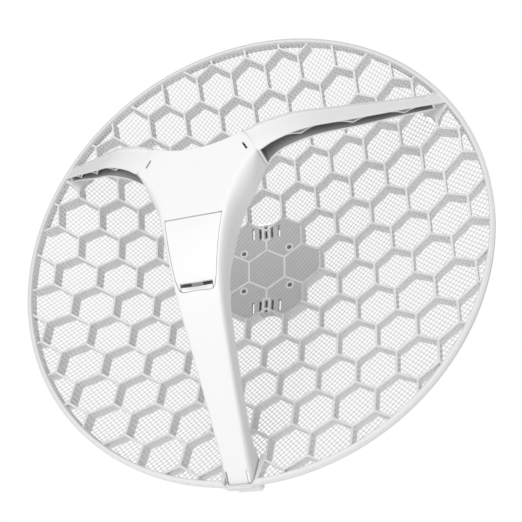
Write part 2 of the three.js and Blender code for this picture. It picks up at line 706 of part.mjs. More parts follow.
function rightArm() {
  const root = SEAM_RADIUS + CLEARANCE;
  const outer = sideArmPrism(0, 0, root, TIP_RADIUS)
    .intersect(behindFrontLine(0))
    .intersect(beforeSideArmRear(0));
  const behindPlate = behindFrontLine(SIDE_ARM_WALL);
  const hollow = sideArmPrism(-FAR / 4, SIDE_ARM_WALL, root + SIDE_ARM_WALL, CHANNEL_END)
    .intersect(behindPlate)
    .intersect(beforeSideArmRear(SIDE_ARM_WALL));
  const pastEnd = box(CHANNEL_END + SIDE_ARM_WALL, FAR, -FAR, FAR, -FAR, FAR).intersect(behindPlate);
  const channel = outer.subtract(hollow).subtract(pastEnd);
  const within = sideArmPrism(1, SIDE_ARM_WALL / 2, root + 1, CHANNEL_END)
    .intersect(behindFrontLine(SIDE_ARM_WALL / 2))
    .intersect(beforeSideArmRear(SIDE_ARM_WALL / 2));
  const gussets = join(GUSSET_RADII.map(gusset)).intersect(within);
  const hookEnd = dishDepth(CHANNEL_END + SIDE_ARM_WALL, 0) - CLEARANCE;
  const hook = box(CHANNEL_END, CHANNEL_END + SIDE_ARM_WALL, frontLine(CHANNEL_END) + 1, hookEnd, -6.5, 3.5);
  const hookTip = snapHook();
  return onRightArm(join([channel, gussets, hook, tongue(0), hookTip]));
}

// The raised end of the tongue that shows in the snap slot.
function snapHook() {
  const half = SNAP_SLOT_LENGTH / 2 - CLEARANCE;
  const y1 = frontLine(SEAM_RADIUS) + WALL + 1;
  const x0 = SNAP_SLOT_RADIUS - SNAP_SLOT_WIDTH / 2 + CLEARANCE;
  const x1 = SNAP_SLOT_RADIUS + SNAP_SLOT_WIDTH / 2 - CLEARANCE;
  return box(x0, x1, HEAD_FRONT_Y + 1, y1, SNAP_MIDDLE - half, SNAP_MIDDLE + half);
}

// ---- Door, latch and what lies inside -------------------------------------------------------------

function portDoor() {
  const panel = plate(doorOutline(0), -FAR, 0)
    .intersect(behindFrontLine(0))
    .subtract(behindFrontLine(DOOR_THICKNESS));
  const slot = box(
    -LATCH_SLOT_HALF_WIDTH, LATCH_SLOT_HALF_WIDTH, -FAR, FAR, -FAR, LATCH_SLOT_TOP_Z,
  );
  const barrel = barAlongX(HINGE_RADIUS, -HINGE_HALF, HINGE_HALF, HINGE_Y, HINGE_Z, 16);
  const stubReach = HINGE_HALF + HINGE_STUB_LENGTH;
  const stubs = barAlongX(HINGE_STUB_RADIUS, -stubReach, stubReach, HINGE_Y, HINGE_Z);
  return join([panel.subtract(slot), barrel, stubs]);
}

function doorLatch() {
  const half = LATCH_SLOT_HALF_WIDTH - CLEARANCE;
  const stemHalf = LATCH_STEM_HALF_WIDTH;
  const stemGap = DOOR_THICKNESS + CLEARANCE;
  const bar = box(-half, half, -FAR, 0, DOOR_BOTTOM_Z - 1, LATCH_BAR_TOP_Z)
    .intersect(plate(doorOutline(0), -FAR, FAR))
    .intersect(behindFrontLine(0))
    .subtract(behindFrontLine(stemGap + LATCH_THICKNESS));
  const stem = box(-stemHalf, stemHalf, -FAR, 0, LATCH_BAR_TOP_Z - 1, LATCH_STEM_TOP_Z)
    .intersect(behindFrontLine(stemGap))
    .subtract(behindFrontLine(stemGap + LATCH_THICKNESS));
  return bar.add(stem);
}

function screw(x, z, headY) {
  const profile = [
    new THREE.Vector2(0, headY - SCREW_LENGTH),
    new THREE.Vector2(SCREW_RADIUS, headY - SCREW_LENGTH),
    new THREE.Vector2(SCREW_RADIUS, headY),
    new THREE.Vector2(SCREW_HEAD_RADIUS, headY),
    new THREE.Vector2(SCREW_HEAD_RADIUS, headY + SCREW_HEAD_HEIGHT),
    new THREE.Vector2(0, headY + SCREW_HEAD_HEIGHT),
  ];
  return solid(moved(new THREE.LatheGeometry(profile, 10), x, 0, z));
}

function mainBoard() {
  const shape = outline([
    [-30, BOARD_TOP_Z], [-30, -8], [-22, -22], [-14.5, BOARD_BOTTOM_Z],
    [14.5, BOARD_BOTTOM_Z], [22, -22], [30, -8], [30, BOARD_TOP_Z],
  ]);
  const back = BOARD_FRONT_Y + BOARD_THICKNESS;
  const holes = postPlaces().board.map(([x, z]) => (
    barAlongY(SCREW_RADIUS + CLEARANCE, x, z, BOARD_FRONT_Y - 1, back + 1)
  ));
  const pins = [FEED_PIN_OFFSET, -FEED_PIN_OFFSET].map((x) => (
    barAlongY(FEED_PIN_RADIUS + CLEARANCE, x, RADOME_Z, BOARD_FRONT_Y - 1, back + 1)
  ));
  return plate(shape, BOARD_FRONT_Y, back).subtract(join([...holes, ...pins]));
}

// A block on the front of the board.
function onBoard(x, z, width, height, depth) {
  const back = BOARD_FRONT_Y - CLEARANCE;
  return box(x - width / 2, x + width / 2, back - depth, back, z - height / 2, z + height / 2);
}

function ethernetJack() {
  const middle = JACK_BOTTOM_Z + JACK_LENGTH / 2;
  const body = onBoard(0, middle, JACK_WIDTH, JACK_LENGTH, JACK_DEPTH);
  const back = BOARD_FRONT_Y - CLEARANCE - JACK_WALL;
  const front = BOARD_FRONT_Y - CLEARANCE - JACK_DEPTH + JACK_WALL;
  const half = JACK_WIDTH / 2 - JACK_WALL;
  const socketTop = JACK_BOTTOM_Z + JACK_LENGTH * 0.7;
  return body.subtract(box(-half, half, front, back, JACK_BOTTOM_Z - 1, socketTop));
}

function resetSwitch() {
  const body = onBoard(BUTTON_X, BUTTON_Z, SWITCH_SIZE, SWITCH_SIZE, SWITCH_HEIGHT);
  const front = BOARD_FRONT_Y - CLEARANCE - SWITCH_HEIGHT;
  const well = front + BUTTON_TRAVEL + 3 * CLEARANCE;
  return body.subtract(barAlongY(BUTTON_RADIUS + CLEARANCE, BUTTON_X, BUTTON_Z, front - 1, well));
}

function resetButton() {
  const back = BOARD_FRONT_Y - SWITCH_HEIGHT + CLEARANCE;
  return barAlongY(BUTTON_RADIUS, BUTTON_X, BUTTON_Z, back - BUTTON_LENGTH, back);
}

// The flat cover with its round cup behind the feed.
function rearCover() {
  const rear = COVER_FRONT_Y + COVER_THICKNESS;
  const lowLimit = box(-FAR, FAR, -FAR, FAR, COVER_BOTTOM_Z, FAR);
  const flat = plate(headOutline(WALL + CLEARANCE), COVER_FRONT_Y, rear).intersect(lowLimit);
  const cup = barAlongY(RADOME_RADIUS, 0, RADOME_Z, COVER_FRONT_Y, RADOME_REAR_Y, 40);
  const inside = RADOME_RADIUS - RADOME_WALL;
  const room = barAlongY(inside, 0, RADOME_Z, COVER_FRONT_Y - 1, RADOME_REAR_Y - RADOME_WALL, 40);
  const holes = postPlaces().cover.map(([x, z]) => (
    barAlongY(SCREW_RADIUS + CLEARANCE, x, z, COVER_FRONT_Y - 1, rear + 1)
  ));
  return flat.add(cup).subtract(room).subtract(join(holes));
}

const GROUND_BACK_Y = COVER_FRONT_Y + GROUND_PLATE_THICKNESS;
const DRIVEN_FRONT_Y = GROUND_BACK_Y + PATCH_SPACING;
const PARASITIC_FRONT_Y = DRIVEN_FRONT_Y + PATCH_THICKNESS + PATCH_SPACING;

function patchPostPlaces() {
  const far = PATCH_POST_OFFSET;
  return [[far, far], [-far, far], [-far, -far], [far, -far]].map(([x, z]) => [x, z + RADOME_Z]);
}

function feedPlate(half, frontY, thickness) {
  const body = box(-half, half, frontY, frontY + thickness, RADOME_Z - half, RADOME_Z + half);
  const holes = patchPostPlaces().map(([x, z]) => (
    barAlongY(PATCH_POST_RADIUS / 2 + CLEARANCE, x, z, frontY - 1, frontY + thickness + 1)
  ));
  return body.subtract(join(holes));
}

function feedGroundPlate() {
  const half = (RADOME_RADIUS - RADOME_WALL) / Math.sqrt(2) - 2 * CLEARANCE;
  const pins = [FEED_PIN_OFFSET, -FEED_PIN_OFFSET].map((x) => (
    barAlongY(FEED_PIN_RADIUS + CLEARANCE, x, RADOME_Z, COVER_FRONT_Y - 1, GROUND_BACK_Y + 1)
  ));
  return feedPlate(half, COVER_FRONT_Y, GROUND_PLATE_THICKNESS).subtract(join(pins));
}

// A post with two shoulders: one under the driven patch, one under the parasitic patch.
function patchPost(x, z) {
  const thin = PATCH_POST_RADIUS / 2;
  const start = BOARD_FRONT_Y + BOARD_THICKNESS + CLEARANCE;
  const profile = [
    new THREE.Vector2(0, start),
    new THREE.Vector2(thin, start),
    new THREE.Vector2(thin, GROUND_BACK_Y + CLEARANCE),
    new THREE.Vector2(PATCH_POST_RADIUS, GROUND_BACK_Y + CLEARANCE),
    new THREE.Vector2(PATCH_POST_RADIUS, DRIVEN_FRONT_Y - CLEARANCE),
    new THREE.Vector2(thin, DRIVEN_FRONT_Y - CLEARANCE),
    new THREE.Vector2(thin, PARASITIC_FRONT_Y + PATCH_THICKNESS + CLEARANCE),
    new THREE.Vector2(0, PARASITIC_FRONT_Y + PATCH_THICKNESS + CLEARANCE),
  ];
  return solid(moved(new THREE.LatheGeometry(profile, 10), x, 0, z));
}

function feedPin(x) {
  const start = BOARD_FRONT_Y - CLEARANCE;
  return barAlongY(FEED_PIN_RADIUS, x, RADOME_Z, start, DRIVEN_FRONT_Y - CLEARANCE, 8);
}

// ---- The antenna ----------------------------------------------------------------------------------

const antenna = new THREE.Group();
antenna.position.y = -MOUNT_FACE_Y;

const finishes = {
  dish: { color: 0xd6d7d8, roughness: 0.55, metalness: 0 },
  shell: { color: 0xf6f6f6, roughness: 0.4, metalness: 0 },
  board: { color: 0x2f6b45, roughness: 0.6, metalness: 0 },
  metal: { color: 0xb9bcc0, roughness: 0.35, metalness: 1 },
  brass: { color: 0xc8a45a, roughness: 0.3, metalness: 1 },
  dark: { color: 0x26272a, roughness: 0.5, metalness: 0 },
};

function place(name, body, finish) {
  const material = new THREE.MeshStandardMaterial(finishes[finish]);
  const mesh = new THREE.Mesh(geometryOf(body), material);
  mesh.name = name;
  antenna.add(mesh);
}

place('reflector', reflector(), 'dish');
place('front_shell', frontShell(), 'shell');
place('right_arm', rightArm(), 'shell');
place('left_arm', mirrored(rightArm()), 'shell');
place('rear_cover', rearCover(), 'shell');
place('port_door', portDoor(), 'shell');
place('door_latch', doorLatch(), 'shell');
place('main_board', mainBoard(), 'board');
place('ethernet_jack', ethernetJack(), 'metal');
place('cpu_shield', onBoard(0, -22, 26, 20, SHIELD_HEIGHT), 'metal');
place('radio_shield', onBoard(0, 1, 36, 18, SHIELD_HEIGHT), 'metal');
place('lan_transformer', onBoard(-14, -44, 8, 14, 4), 'dark');
place('power_inductor', onBoard(18, -16, 7, 7, 4), 'dark');
place('reset_switch', resetSwitch(), 'metal');
place('reset_button', resetButton(), 'dark');
place('feed_ground_plate', feedGroundPlate(), 'metal');
place('driven_patch', feedPlate(DRIVEN_PATCH_SIZE / 2, DRIVEN_FRONT_Y, PATCH_THICKNESS), 'brass');
place('parasitic_patch', feedPlate(PARASITIC_PATCH_SIZE / 2, PARASITIC_FRONT_Y, PATCH_THICKNESS), 'brass');
place('feed_pin_1', feedPin(FEED_PIN_OFFSET), 'brass');
place('feed_pin_2', feedPin(-FEED_PIN_OFFSET), 'brass');
patchPostPlaces().forEach(([x, z], i) => {
  place(`patch_post_${i + 1}`, patchPost(x, z), 'shell');
});
const boardScrewY = BOARD_FRONT_Y + BOARD_THICKNESS + CLEARANCE;
const coverScrewY = COVER_FRONT_Y + COVER_THICKNESS + CLEARANCE;
postPlaces().board.forEach(([x, z], i) => {
  place(`board_screw_${i + 1}`, screw(x, z, boardScrewY), 'metal');
});
postPlaces().cover.forEach(([x, z], i) => {
  place(`cover_screw_${i + 1}`, screw(x, z, coverScrewY), 'metal');
});

export default antenna;
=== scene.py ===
"""Parabolic grid antenna: the finish and the fine shapes of a ribbed dish with its feed head.

Lengths in the functions are millimetres, measured from the dish's vertex: X to the right as seen
from in front, Y to the back, Z up. place() moves them to the frame of the parts, in metres. On a
side arm, polar is the distance from the dish's axis and across the place across the arm.
"""
import math

import bmesh
import bpy
import numpy as np
from bpy.props import FloatProperty, FloatVectorProperty, IntProperty, PointerProperty
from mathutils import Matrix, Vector


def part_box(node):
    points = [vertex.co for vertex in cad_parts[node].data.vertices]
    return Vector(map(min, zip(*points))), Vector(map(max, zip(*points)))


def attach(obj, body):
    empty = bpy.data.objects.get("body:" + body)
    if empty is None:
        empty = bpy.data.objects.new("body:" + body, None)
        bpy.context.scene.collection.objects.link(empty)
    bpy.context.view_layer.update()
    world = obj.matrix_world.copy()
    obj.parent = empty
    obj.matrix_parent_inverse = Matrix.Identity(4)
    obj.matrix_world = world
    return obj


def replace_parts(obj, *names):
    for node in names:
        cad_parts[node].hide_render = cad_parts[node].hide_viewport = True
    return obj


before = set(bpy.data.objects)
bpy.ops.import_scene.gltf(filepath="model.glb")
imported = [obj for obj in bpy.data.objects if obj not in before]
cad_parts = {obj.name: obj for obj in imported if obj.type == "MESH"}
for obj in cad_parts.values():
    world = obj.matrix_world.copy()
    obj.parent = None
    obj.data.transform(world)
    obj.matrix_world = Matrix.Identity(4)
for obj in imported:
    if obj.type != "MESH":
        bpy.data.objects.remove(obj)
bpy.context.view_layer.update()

bl_info = {
    "name": "Parabolic grid antenna",
    "version": (1, 0, 0),
    "blender": (4, 5, 0),
    "location": "View3D > Sidebar > Antenna",
    "description": "Builds the visible surfaces and finishes of a parabolic grid antenna",
    "category": "Add Mesh",
}

# ---- Sizes that come from the frame, in millimetres ----------------------------------------------

DISH_LOW, DISH_HIGH = (np.array(corner) * 1000 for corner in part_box("reflector"))
SHELL_LOW, SHELL_HIGH = (np.array(corner) * 1000 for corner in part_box("front_shell"))
DISH_RADIUS = (DISH_HIGH[0] - DISH_LOW[0]) / 2
FOCAL_LENGTH = 158.3
VERTEX_Y = DISH_LOW[1] + DISH_RADIUS ** 2 / (4 * FOCAL_LENGTH)
HEAD_FRONT_Y = SHELL_LOW[1] - VERTEX_Y
FOOT_Z = SHELL_LOW[2]
FOOT_REAR_Y = SHELL_HIGH[1] - VERTEX_Y
MOUNT_FACE_Y = DISH_HIGH[1] - VERTEX_Y

# ---- Sizes of the pieces, in millimetres ---------------------------------------------------------

GAP = 0.3
WALL = 2.0
BEVEL = 0.14
POLE = 0.001
EDGE_STEPS = 4

# The shared front of the head and the arms.
FLAT_RADIUS = 34.9
BEND_RADIUS = 104.0
ARM_SLOPE = math.radians(37.3)
BEND_REACH = BEND_RADIUS * math.sin(ARM_SLOPE)

# The head and the bottom arm.
SEAM_RADIUS = 47.9
SEAM_LOW = math.radians(16.2)
SEAM_HIGH = math.radians(44)
HEAD_TOP_Z = 25.2
HEAD_TOP_ARC = 80.6
HEAD_REAR_Y = -130.0
HEAD_REAR_BLEND = (-52, -80)
ARM_DEPTH = 17.8
FOOT_TOP_Z = -174.0
FOOT_REAR_BLEND = (-163, -189)
FOOT_HALF = 10.4
FOOT_CORNER = 3.0
END_EDGE = 1.6
HALF_WIDTHS = ([FOOT_Z, FOOT_TOP_Z, -140, -105, -75, -50, -33, -20, -5, 13.4],
               [10.4, 10.9, 12.3, 14.9, 18.3, 22.7, 26.5, 31.0, 38.5, 46])
EDGE_HEIGHTS = [FOOT_Z, -175, -160, -120, -84, -31, -20, -5, 6, 13.4]
EDGE_RUN_SHARES = [1.3, 1.2, 1.0, 0.9, 0.95, 1.65, 2.6, 3.6, 2.6, 0.5]
EDGE_DEPTH_SHARES = [0.6, 0.55, 0.36, 0.28, 0.42, 0.85, 1.0, 1.0, 0.7, 0.12]
LEAST_EDGE = 0.3
SEAM_EDGE = 0.35
WALL_SHARES = np.array([1.0, 0.72, 0.42, 0.18])
SLIT = (7.0, 8.5)
SLIT_HEIGHT = 8.5

# The side arms.
SIDE_ARM_WALL = 1.8
SIDE_ARM_ANGLE = math.radians(30)
CHANNEL_END = 181.0
CHANNEL_STATIONS = 48
CHANNEL_INNER_FACES = slice(15 * (CHANNEL_STATIONS - 1), 20 * (CHANNEL_STATIONS - 1))
TIP_RADIUS = 193.2
TIP_CORNER = 2.6
TIP_DROP = 0.9
FRONT_EDGE = 1.1
TOP_EDGE = 1.6
REAR_EDGE = 0.8
LOWER_EDGE = ([36, 47, 62, 90, 120, 160, 200], [-8, -11.6, -13.2, -12.6, -11, -9, -6.2])
LOWER_FRONT_EDGE = ([36, 47, 58, 72, 98, 130, 160, 200],
                    [-8, -11.6, -10.7, -10.2, -10.2, -9.2, -7.9, -6.9])
UPPER_EDGE = ([36, 47, 60, 72, 98, 130, 160, 200], [16, 11.6, 10.7, 9.6, 7.4, 6.0, 5.1, 4.4])
REAR_LINE = ([40, 48, 54, 62, 74, 90, 120, 150, 198],
             [-130, -130, -135, -137.2, -134.6, -126.5, -104.4, -83.2, -47.2])
GUSSET_RADII = (80.5, 118, 158)
GUSSET_REACH = 11
GUSSET_DEPTH = 6.4
GUSSET_HALF = 0.45
SNAP_X = 41.8
SNAP_HALF = 0.75
SNAP_ACROSS = (-5.5, 1.5)

# The door and the latch.
DOOR_TOP_Z = -30.9
DOOR_BOTTOM_Z = -82.2
DOOR_TOP_HALF = 21.3
DOOR_BOTTOM_HALF = 13.6
DOOR_TOP_CORNER = 0.5
DOOR_CORNER = 4.6
DOOR_RISE = 0.6
DOOR_INSET = 0.1
DOOR_SETBACK = 0.12
DOOR_THICKNESS = 1.8
HINGE_RADIUS = 1.5
STUB_RADIUS = 0.8
LATCH_TOP_Z = -76.5
LATCH_HALF = 12.0
THUMB_TOP_Z = -79.2
THUMB_GAP = 0.55
THUMB_EDGE = 0.35
THUMB_DEPTH = 3.7
THUMB_CORNER_X = 9.0
SCOOP_Z = -80.5
SCOOP_DEPTH = 1.1
SCOOP_HALVES = (7.5, 6.0)

# The dish.
CELL_RADIUS_RATIO = 1 / math.sqrt(3)
PANEL_CELLS = 1.1
RIM_DEPTH = 6.0
SCREEN_SETBACK = 0.4
SCREEN_BAR_DEPTH = 0.16
PANEL_SETBACK = 3.2
PANEL_RIDGE = 0.5
PANEL_THICKNESS = 3.0
PANEL_FILL_Z = 42.0
BOLTS = [(20.6, 17.85), (-20.6, 17.85), (-20.6, -17.85), (20.6, -17.85)]
BOLT_RADIUS = 2.0
SLOT_XS = (-11.8, -5.4, 0.0, 5.4, 11.8)
SLOT_LOW_Z = 29.8
SLOT_HIGH_Z = 40.4
FRAME_HALF = 2.75
TRAY_HALF = 8.8
CRADLE_WALL = 5.4
CRADLE_LIP = 2.2
CRADLE_EDGE = 0.7
CRADLE_REAR_Y = -36.0
BOSS_HALF = 17.5
BOSS_SWELL = 1.3
SEAT_SHARE = 0.45
SEAT_FLOOR_Y = -56.4
SEAT_OUTLINE = [(176.4, 4.6), (179.0, -2), (179.1, -7.5), (178.3, -10.6), (180.9, -12.4),
                (183.8, -10.9), (186, -10), (192.2, -10.2), (192.2, 9.2), (190.3, 9.0),
                (187.5, 6.4), (182, 6)]
PAD_HALF_X = 28
PAD_HALF_Z = 25
PAD_CORNER = 5.0
PAD_THICKNESS = 4


def linear(code):
    """A colour in sRGB hex as linear values."""
    parts = [int(code[i:i + 2], 16) / 255 for i in (0, 2, 4)]
    return tuple(p / 12.92 if p <= 0.04045 else ((p + 0.055) / 1.055) ** 2.4 for p in parts) + (1,)


# ---- User sizes and colours ----------------------------------------------------------------------

def length(name, description, default, low):
    return FloatProperty(name=name, description=description, default=default, min=low,
                         unit="LENGTH", subtype="DISTANCE")


def colour(name, description, code):
    return FloatVectorProperty(name=name, description=description, default=linear(code)[:3],
                               subtype="COLOR", size=3, min=0, max=1)


class AntennaSizes(bpy.types.PropertyGroup):
    """Sizes of the fine shapes, which lie inside the parts' own sizes."""
    cell_pitch: length("Cell pitch", "Distance between the middles of two cells", 0.03217, 0.01)
    rib_width: length("Rib width", "Thickness of a rib at its front edge", 0.0018, 0.0005)
    rib_depth: length("Rib depth", "How far a rib reaches behind the dish's surface", 0.012, 0.002)
    screen_pitch: length("Screen pitch", "Distance between two bars of the screen", 0.003, 0.001)
    screen_bar: length("Screen bar", "Width of one bar of the screen", 0.0005, 0.0002)
    rim_width: length("Rim width", "Width of the rim's front lip", 0.004, 0.001)
    edge_radius: length("Edge run", "How far in the arm's rounded edges run", 0.0025, 0.0005)
    head_edge_radius: length("Edge depth", "How far back the head's rounded edges run",
                             0.0130, 0.001)
    arc_steps: IntProperty(name="Arc steps", description="Steps in each rounded edge", default=6,
                           min=2, max=16)


class AntennaFinish(bpy.types.PropertyGroup):
    """Colours of the finishes, and the level of the light."""
    dish_colour: colour("Dish", "Paint of the cast dish", "E6E6E6")
    shell_colour: colour("Shell", "Moulded plastic of the head and arms", "F0F0F0")
    key_light: FloatProperty(name="Key light", description="Power of the large lamp in front",
                             default=12.1, min=0, unit="POWER")
    floor_glow: FloatProperty(name="Floor glow", description="Light that the floor gives back",
                              default=0.40, min=0)
    ambient: FloatProperty(name="Ambient", description="Strength of the light from all sides",
                           default=0.40, min=0)


def sizes():
    return bpy.context.scene.antenna_sizes


def finish():
    return bpy.context.scene.antenna_finish


def mm(length):
    return length * 1000


# ---- Mesh helpers --------------------------------------------------------------------------------

def place(points):
    """Millimetres from the dish's vertex, as metres in the frame of the parts."""
    moved = np.array(points, float).reshape(-1, 3)
    moved[:, 1] += VERTEX_Y
    return moved / 1000


def mesh_of(name, points, faces, weld):
    """A mesh of the given points and faces, facing outwards, and welded if asked."""
    mesh = bpy.data.meshes.new(name)
    mesh.from_pydata(place(points).tolist(), [], faces)
    build = bmesh.new()
    build.from_mesh(mesh)
    if weld:
        bmesh.ops.remove_doubles(build, verts=build.verts, dist=1e-6)
    bmesh.ops.recalc_face_normals(build, faces=build.faces)
    build.to_mesh(mesh)
    build.free()
    return mesh


def smooth(mesh):
    mesh.shade_smooth()
    mesh.set_sharp_from_angle(angle=math.radians(35))


def add_piece(name, mesh, material, body="antenna"):
    """A piece of points and faces, smooth up to an angle, that rides on a body."""
    data = mesh_of(name, *mesh, weld=True)
    smooth(data)
    data.materials.append(materials()[material])
    piece = bpy.data.objects.new(name, data)
    bpy.context.scene.collection.objects.link(piece)
    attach(piece, body)
    return piece


def cut(piece, solids, operation="DIFFERENCE"):
    """Takes solids out of a piece, or keeps what lies in them, for good."""
    cutters = []
    for points, faces in solids:
        cutter = bpy.data.objects.new("cutter", mesh_of("cutter", points, faces, weld=False))
        bpy.context.scene.collection.objects.link(cutter)
        modifier = piece.modifiers.new("cut", "BOOLEAN")
        modifier.operation = operation
        modifier.solver = "EXACT"
        modifier.object = cutter
        cutters.append(cutter)
    shaped = piece.evaluated_get(bpy.context.evaluated_depsgraph_get())
    result = bpy.data.meshes.new_from_object(shaped)
    piece.modifiers.clear()
    piece.data = result
    for cutter in cutters:
        bpy.data.objects.remove(cutter)
    smooth(result)


def grid_faces(rows, columns, start=0, closed_rows=False, closed_columns=False):
    """Quads between the points of a grid, whose points are stored row by row."""
    row = np.arange(rows if closed_rows else rows - 1)
    column = np.arange(columns if closed_columns else columns - 1)
    r, c = (a.ravel() for a in np.meshgrid(row, column, indexing="ij"))
    r2 = (r + 1) % rows
    c2 = (c + 1) % columns
    quads = np.stack([r * columns + c, r * columns + c2, r2 * columns + c2, r2 * columns + c], 1)
    return (quads + start).tolist()


def between(near, far):
    """Two grids of points of one size as a closed solid, joined around their borders."""
    rows, columns = near.shape[:2]
    count = rows * columns
    faces = grid_faces(rows, columns)
    faces += [face[::-1] for face in grid_faces(rows, columns, count)]
    index = np.arange(count).reshape(rows, columns)
    ring = np.concatenate([index[0, :-1], index[:-1, -1], index[-1, :0:-1], index[:0:-1, 0]])
    after = np.roll(ring, -1)
    faces += np.stack([ring, ring + count, after + count, after], 1).tolist()
    return np.concatenate([near.reshape(-1, 3), far.reshape(-1, 3)]), faces


def carried(sections):
    """Closed sections, one after another along a path, joined and closed at both ends."""
    points = np.array(sections)
    count, sides = points.shape[:2]
    faces = grid_faces(count, sides, closed_columns=True)
    faces += [list(range(sides)), list(range((count - 1) * sides, count * sides))]
    return points.reshape(-1, 3), faces


def swept(lines):
    """Lines that run along a piece, one for each point of its section, joined and closed."""
    points = np.array(lines)
    count, stations = points.shape[:2]
    faces = grid_faces(count, stations, closed_rows=True)
    faces += [[line * stations + end for line in range(count)] for end in (0, stations - 1)]
    return points.reshape(-1, 3), faces


def tubes(starts, ends, across, profile):
    """Straight bars between two sets of points, each with the same closed profile.

    A profile point is how far it lies across the bar and how far along Y from the bar's line.
    """
    count, sides = len(starts), len(profile)
    profile = np.array(profile, float)
    offset = across[:, None, :] * profile[None, :, :1]
    offset = offset + np.array([0, 1, 0]) * profile[None, :, 1:]
    points = np.concatenate([starts[:, None] + offset, ends[:, None] + offset], 1)
    side = np.arange(sides)
    walls = np.stack([side, (side + 1) % sides, sides + (side + 1) % sides, sides + side], 1)
    base = np.arange(count) * 2 * sides
    faces = (base[:, None, None] + walls[None]).reshape(-1, 4).tolist()
    caps = np.stack([side[::-1], sides + side])
    faces += (base[:, None, None] + caps[None]).reshape(-1, sides).tolist()
    return points.reshape(-1, 3), faces


def turned(profile, steps, centre=(0, 0), begin=0.0, end=2 * math.pi):
    """A closed profile of radius and Y, carried round an axis along Y through centre."""
    profile = np.array(profile, float)
    whole = abs(end - begin - 2 * math.pi) < 1e-6
    angle = np.linspace(begin, end, steps, endpoint=not whole)
    x = centre[0] + np.cos(angle)[:, None] * profile[None, :, 0]
    z = centre[1] + np.sin(angle)[:, None] * profile[None, :, 0]
    y = np.broadcast_to(profile[None, :, 1], x.shape)
    sections = np.stack([x, y, z], 2)
    if whole:
        return sections.reshape(-1, 3), grid_faces(steps, len(profile), 0, True, True)
    return carried(sections)


def prism(outline, front, rear):
    """An outline in X and Z as a solid, with its front and rear Y given for each of its points."""
    outline = np.array(outline, float)
    count = len(outline)
    near, far = (np.stack([outline[:, 0], np.broadcast_to(np.asarray(y, float), count),
                           outline[:, 1]], 1) for y in (front, rear))
    index = np.arange(count)
    after = (index + 1) % count
    faces = np.stack([index, after, after + count, index + count], 1).tolist()
    faces += [index.tolist(), (index + count).tolist()]
    return np.concatenate([near, far]), faces


def box_solid(low, high):
    """A plain block, used where only its edge shows inside a slot or as a cutter."""
    (x0, y0, z0), (x1, y1, z1) = low, high
    return prism([(x0, z0), (x1, z0), (x1, z1), (x0, z1)], y0, y1)


def together(*meshes):
    """Several sets of points and faces as one."""
    points, faces, start = [], [], 0
    for some, quads in meshes:
        points.append(np.asarray(some, float).reshape(-1, 3))
        faces += [[corner + start for corner in face] for face in quads]
        start += len(points[-1])
    return np.concatenate(points), faces


def mirrored(mesh):
    points, faces = mesh
    return np.asarray(points) * [-1, 1, 1], [face[::-1] for face in faces]


def smoothstep(low, high, value):
    t = np.clip((np.asarray(value, float) - low) / (high - low), 0, 1)
    return t * t * (3 - 2 * t)


def spline(places, values, at):
    """A smooth curve through values: cubic pieces whose slopes are central differences."""
    places, values, at = (np.asarray(a, float) for a in (places, values, at))
    slope = np.gradient(values, places)
    i = np.clip(np.searchsorted(places, at) - 1, 0, len(places) - 2)
    width = places[i + 1] - places[i]
    t = np.clip((at - places[i]) / width, 0, 1)
    return ((2 * t ** 3 - 3 * t ** 2 + 1) * values[i]
            + (t ** 3 - 2 * t ** 2 + t) * width * slope[i]
            + (3 * t ** 2 - 2 * t ** 3) * values[i + 1] + (t ** 3 - t ** 2) * width * slope[i + 1])


def rounded_steps(radius, steps):
    """Distances in from an edge, and how far behind the face the rounded edge lies there."""
    turn = np.linspace(0, math.pi / 2, steps + 1)
    return radius * (1 - np.cos(turn)), radius * (1 - np.sin(turn))


# ---- Surfaces shared by several pieces -----------------------------------------------------------

def dish_depth(x, z):
    """The reflecting surface: a paraboloid that is deepest at its vertex."""
    return -(np.square(x) + np.square(z)) / (4 * FOCAL_LENGTH)


def front_line(radius):
    """The front of the head and arms: flat, then a bend of one radius, then a straight slope."""
    past_flat = np.asarray(radius, float) - FLAT_RADIUS
    across = np.clip(past_flat, 0, BEND_REACH)
    bent = HEAD_FRONT_Y + BEND_RADIUS - np.sqrt(BEND_RADIUS ** 2 - across ** 2)
    return bent + np.maximum(past_flat - BEND_REACH, 0) * math.tan(ARM_SLOPE)


def scooped(x, z):
    """The front surface with a shallow hollow, a Gaussian bell, for a fingertip."""
    wide, high = SCOOP_HALVES
    bell = np.exp(-(np.asarray(x) / wide) ** 2 - ((np.asarray(z) - SCOOP_Z) / high) ** 2)
    return front_line(np.hypot(x, z)) + SCOOP_DEPTH * bell


def arm_half_width(z):
    """Half the width of the head and the lower arm, from the seam down to the foot."""
    return spline(*HALF_WIDTHS, z)


def arm_rear(z):
    """The side walls' rear edge: level on the head, parallel to the front below, then down."""
    z = np.asarray(z, float)
    slope_rear = front_line(-z) + ARM_DEPTH
    foot = FOOT_REAR_Y + (slope_rear - FOOT_REAR_Y) * (1 - smoothstep(*FOOT_REAR_BLEND, z))
    blend = smoothstep(*HEAD_REAR_BLEND, z)
    return np.where(z > FOOT_TOP_Z + 11, HEAD_REAR_Y * (1 - blend) + slope_rear * blend, foot)


def on_arm(points):
    """Points in the right-hand arm's frame, turned to where that arm stands."""
    points = np.asarray(points, float).reshape(-1, 3)
    c, s = math.cos(SIDE_ARM_ANGLE), math.sin(SIDE_ARM_ANGLE)
    return np.stack([points[:, 0] * c - points[:, 2] * s, points[:, 1],
                     points[:, 0] * s + points[:, 2] * c], 1)


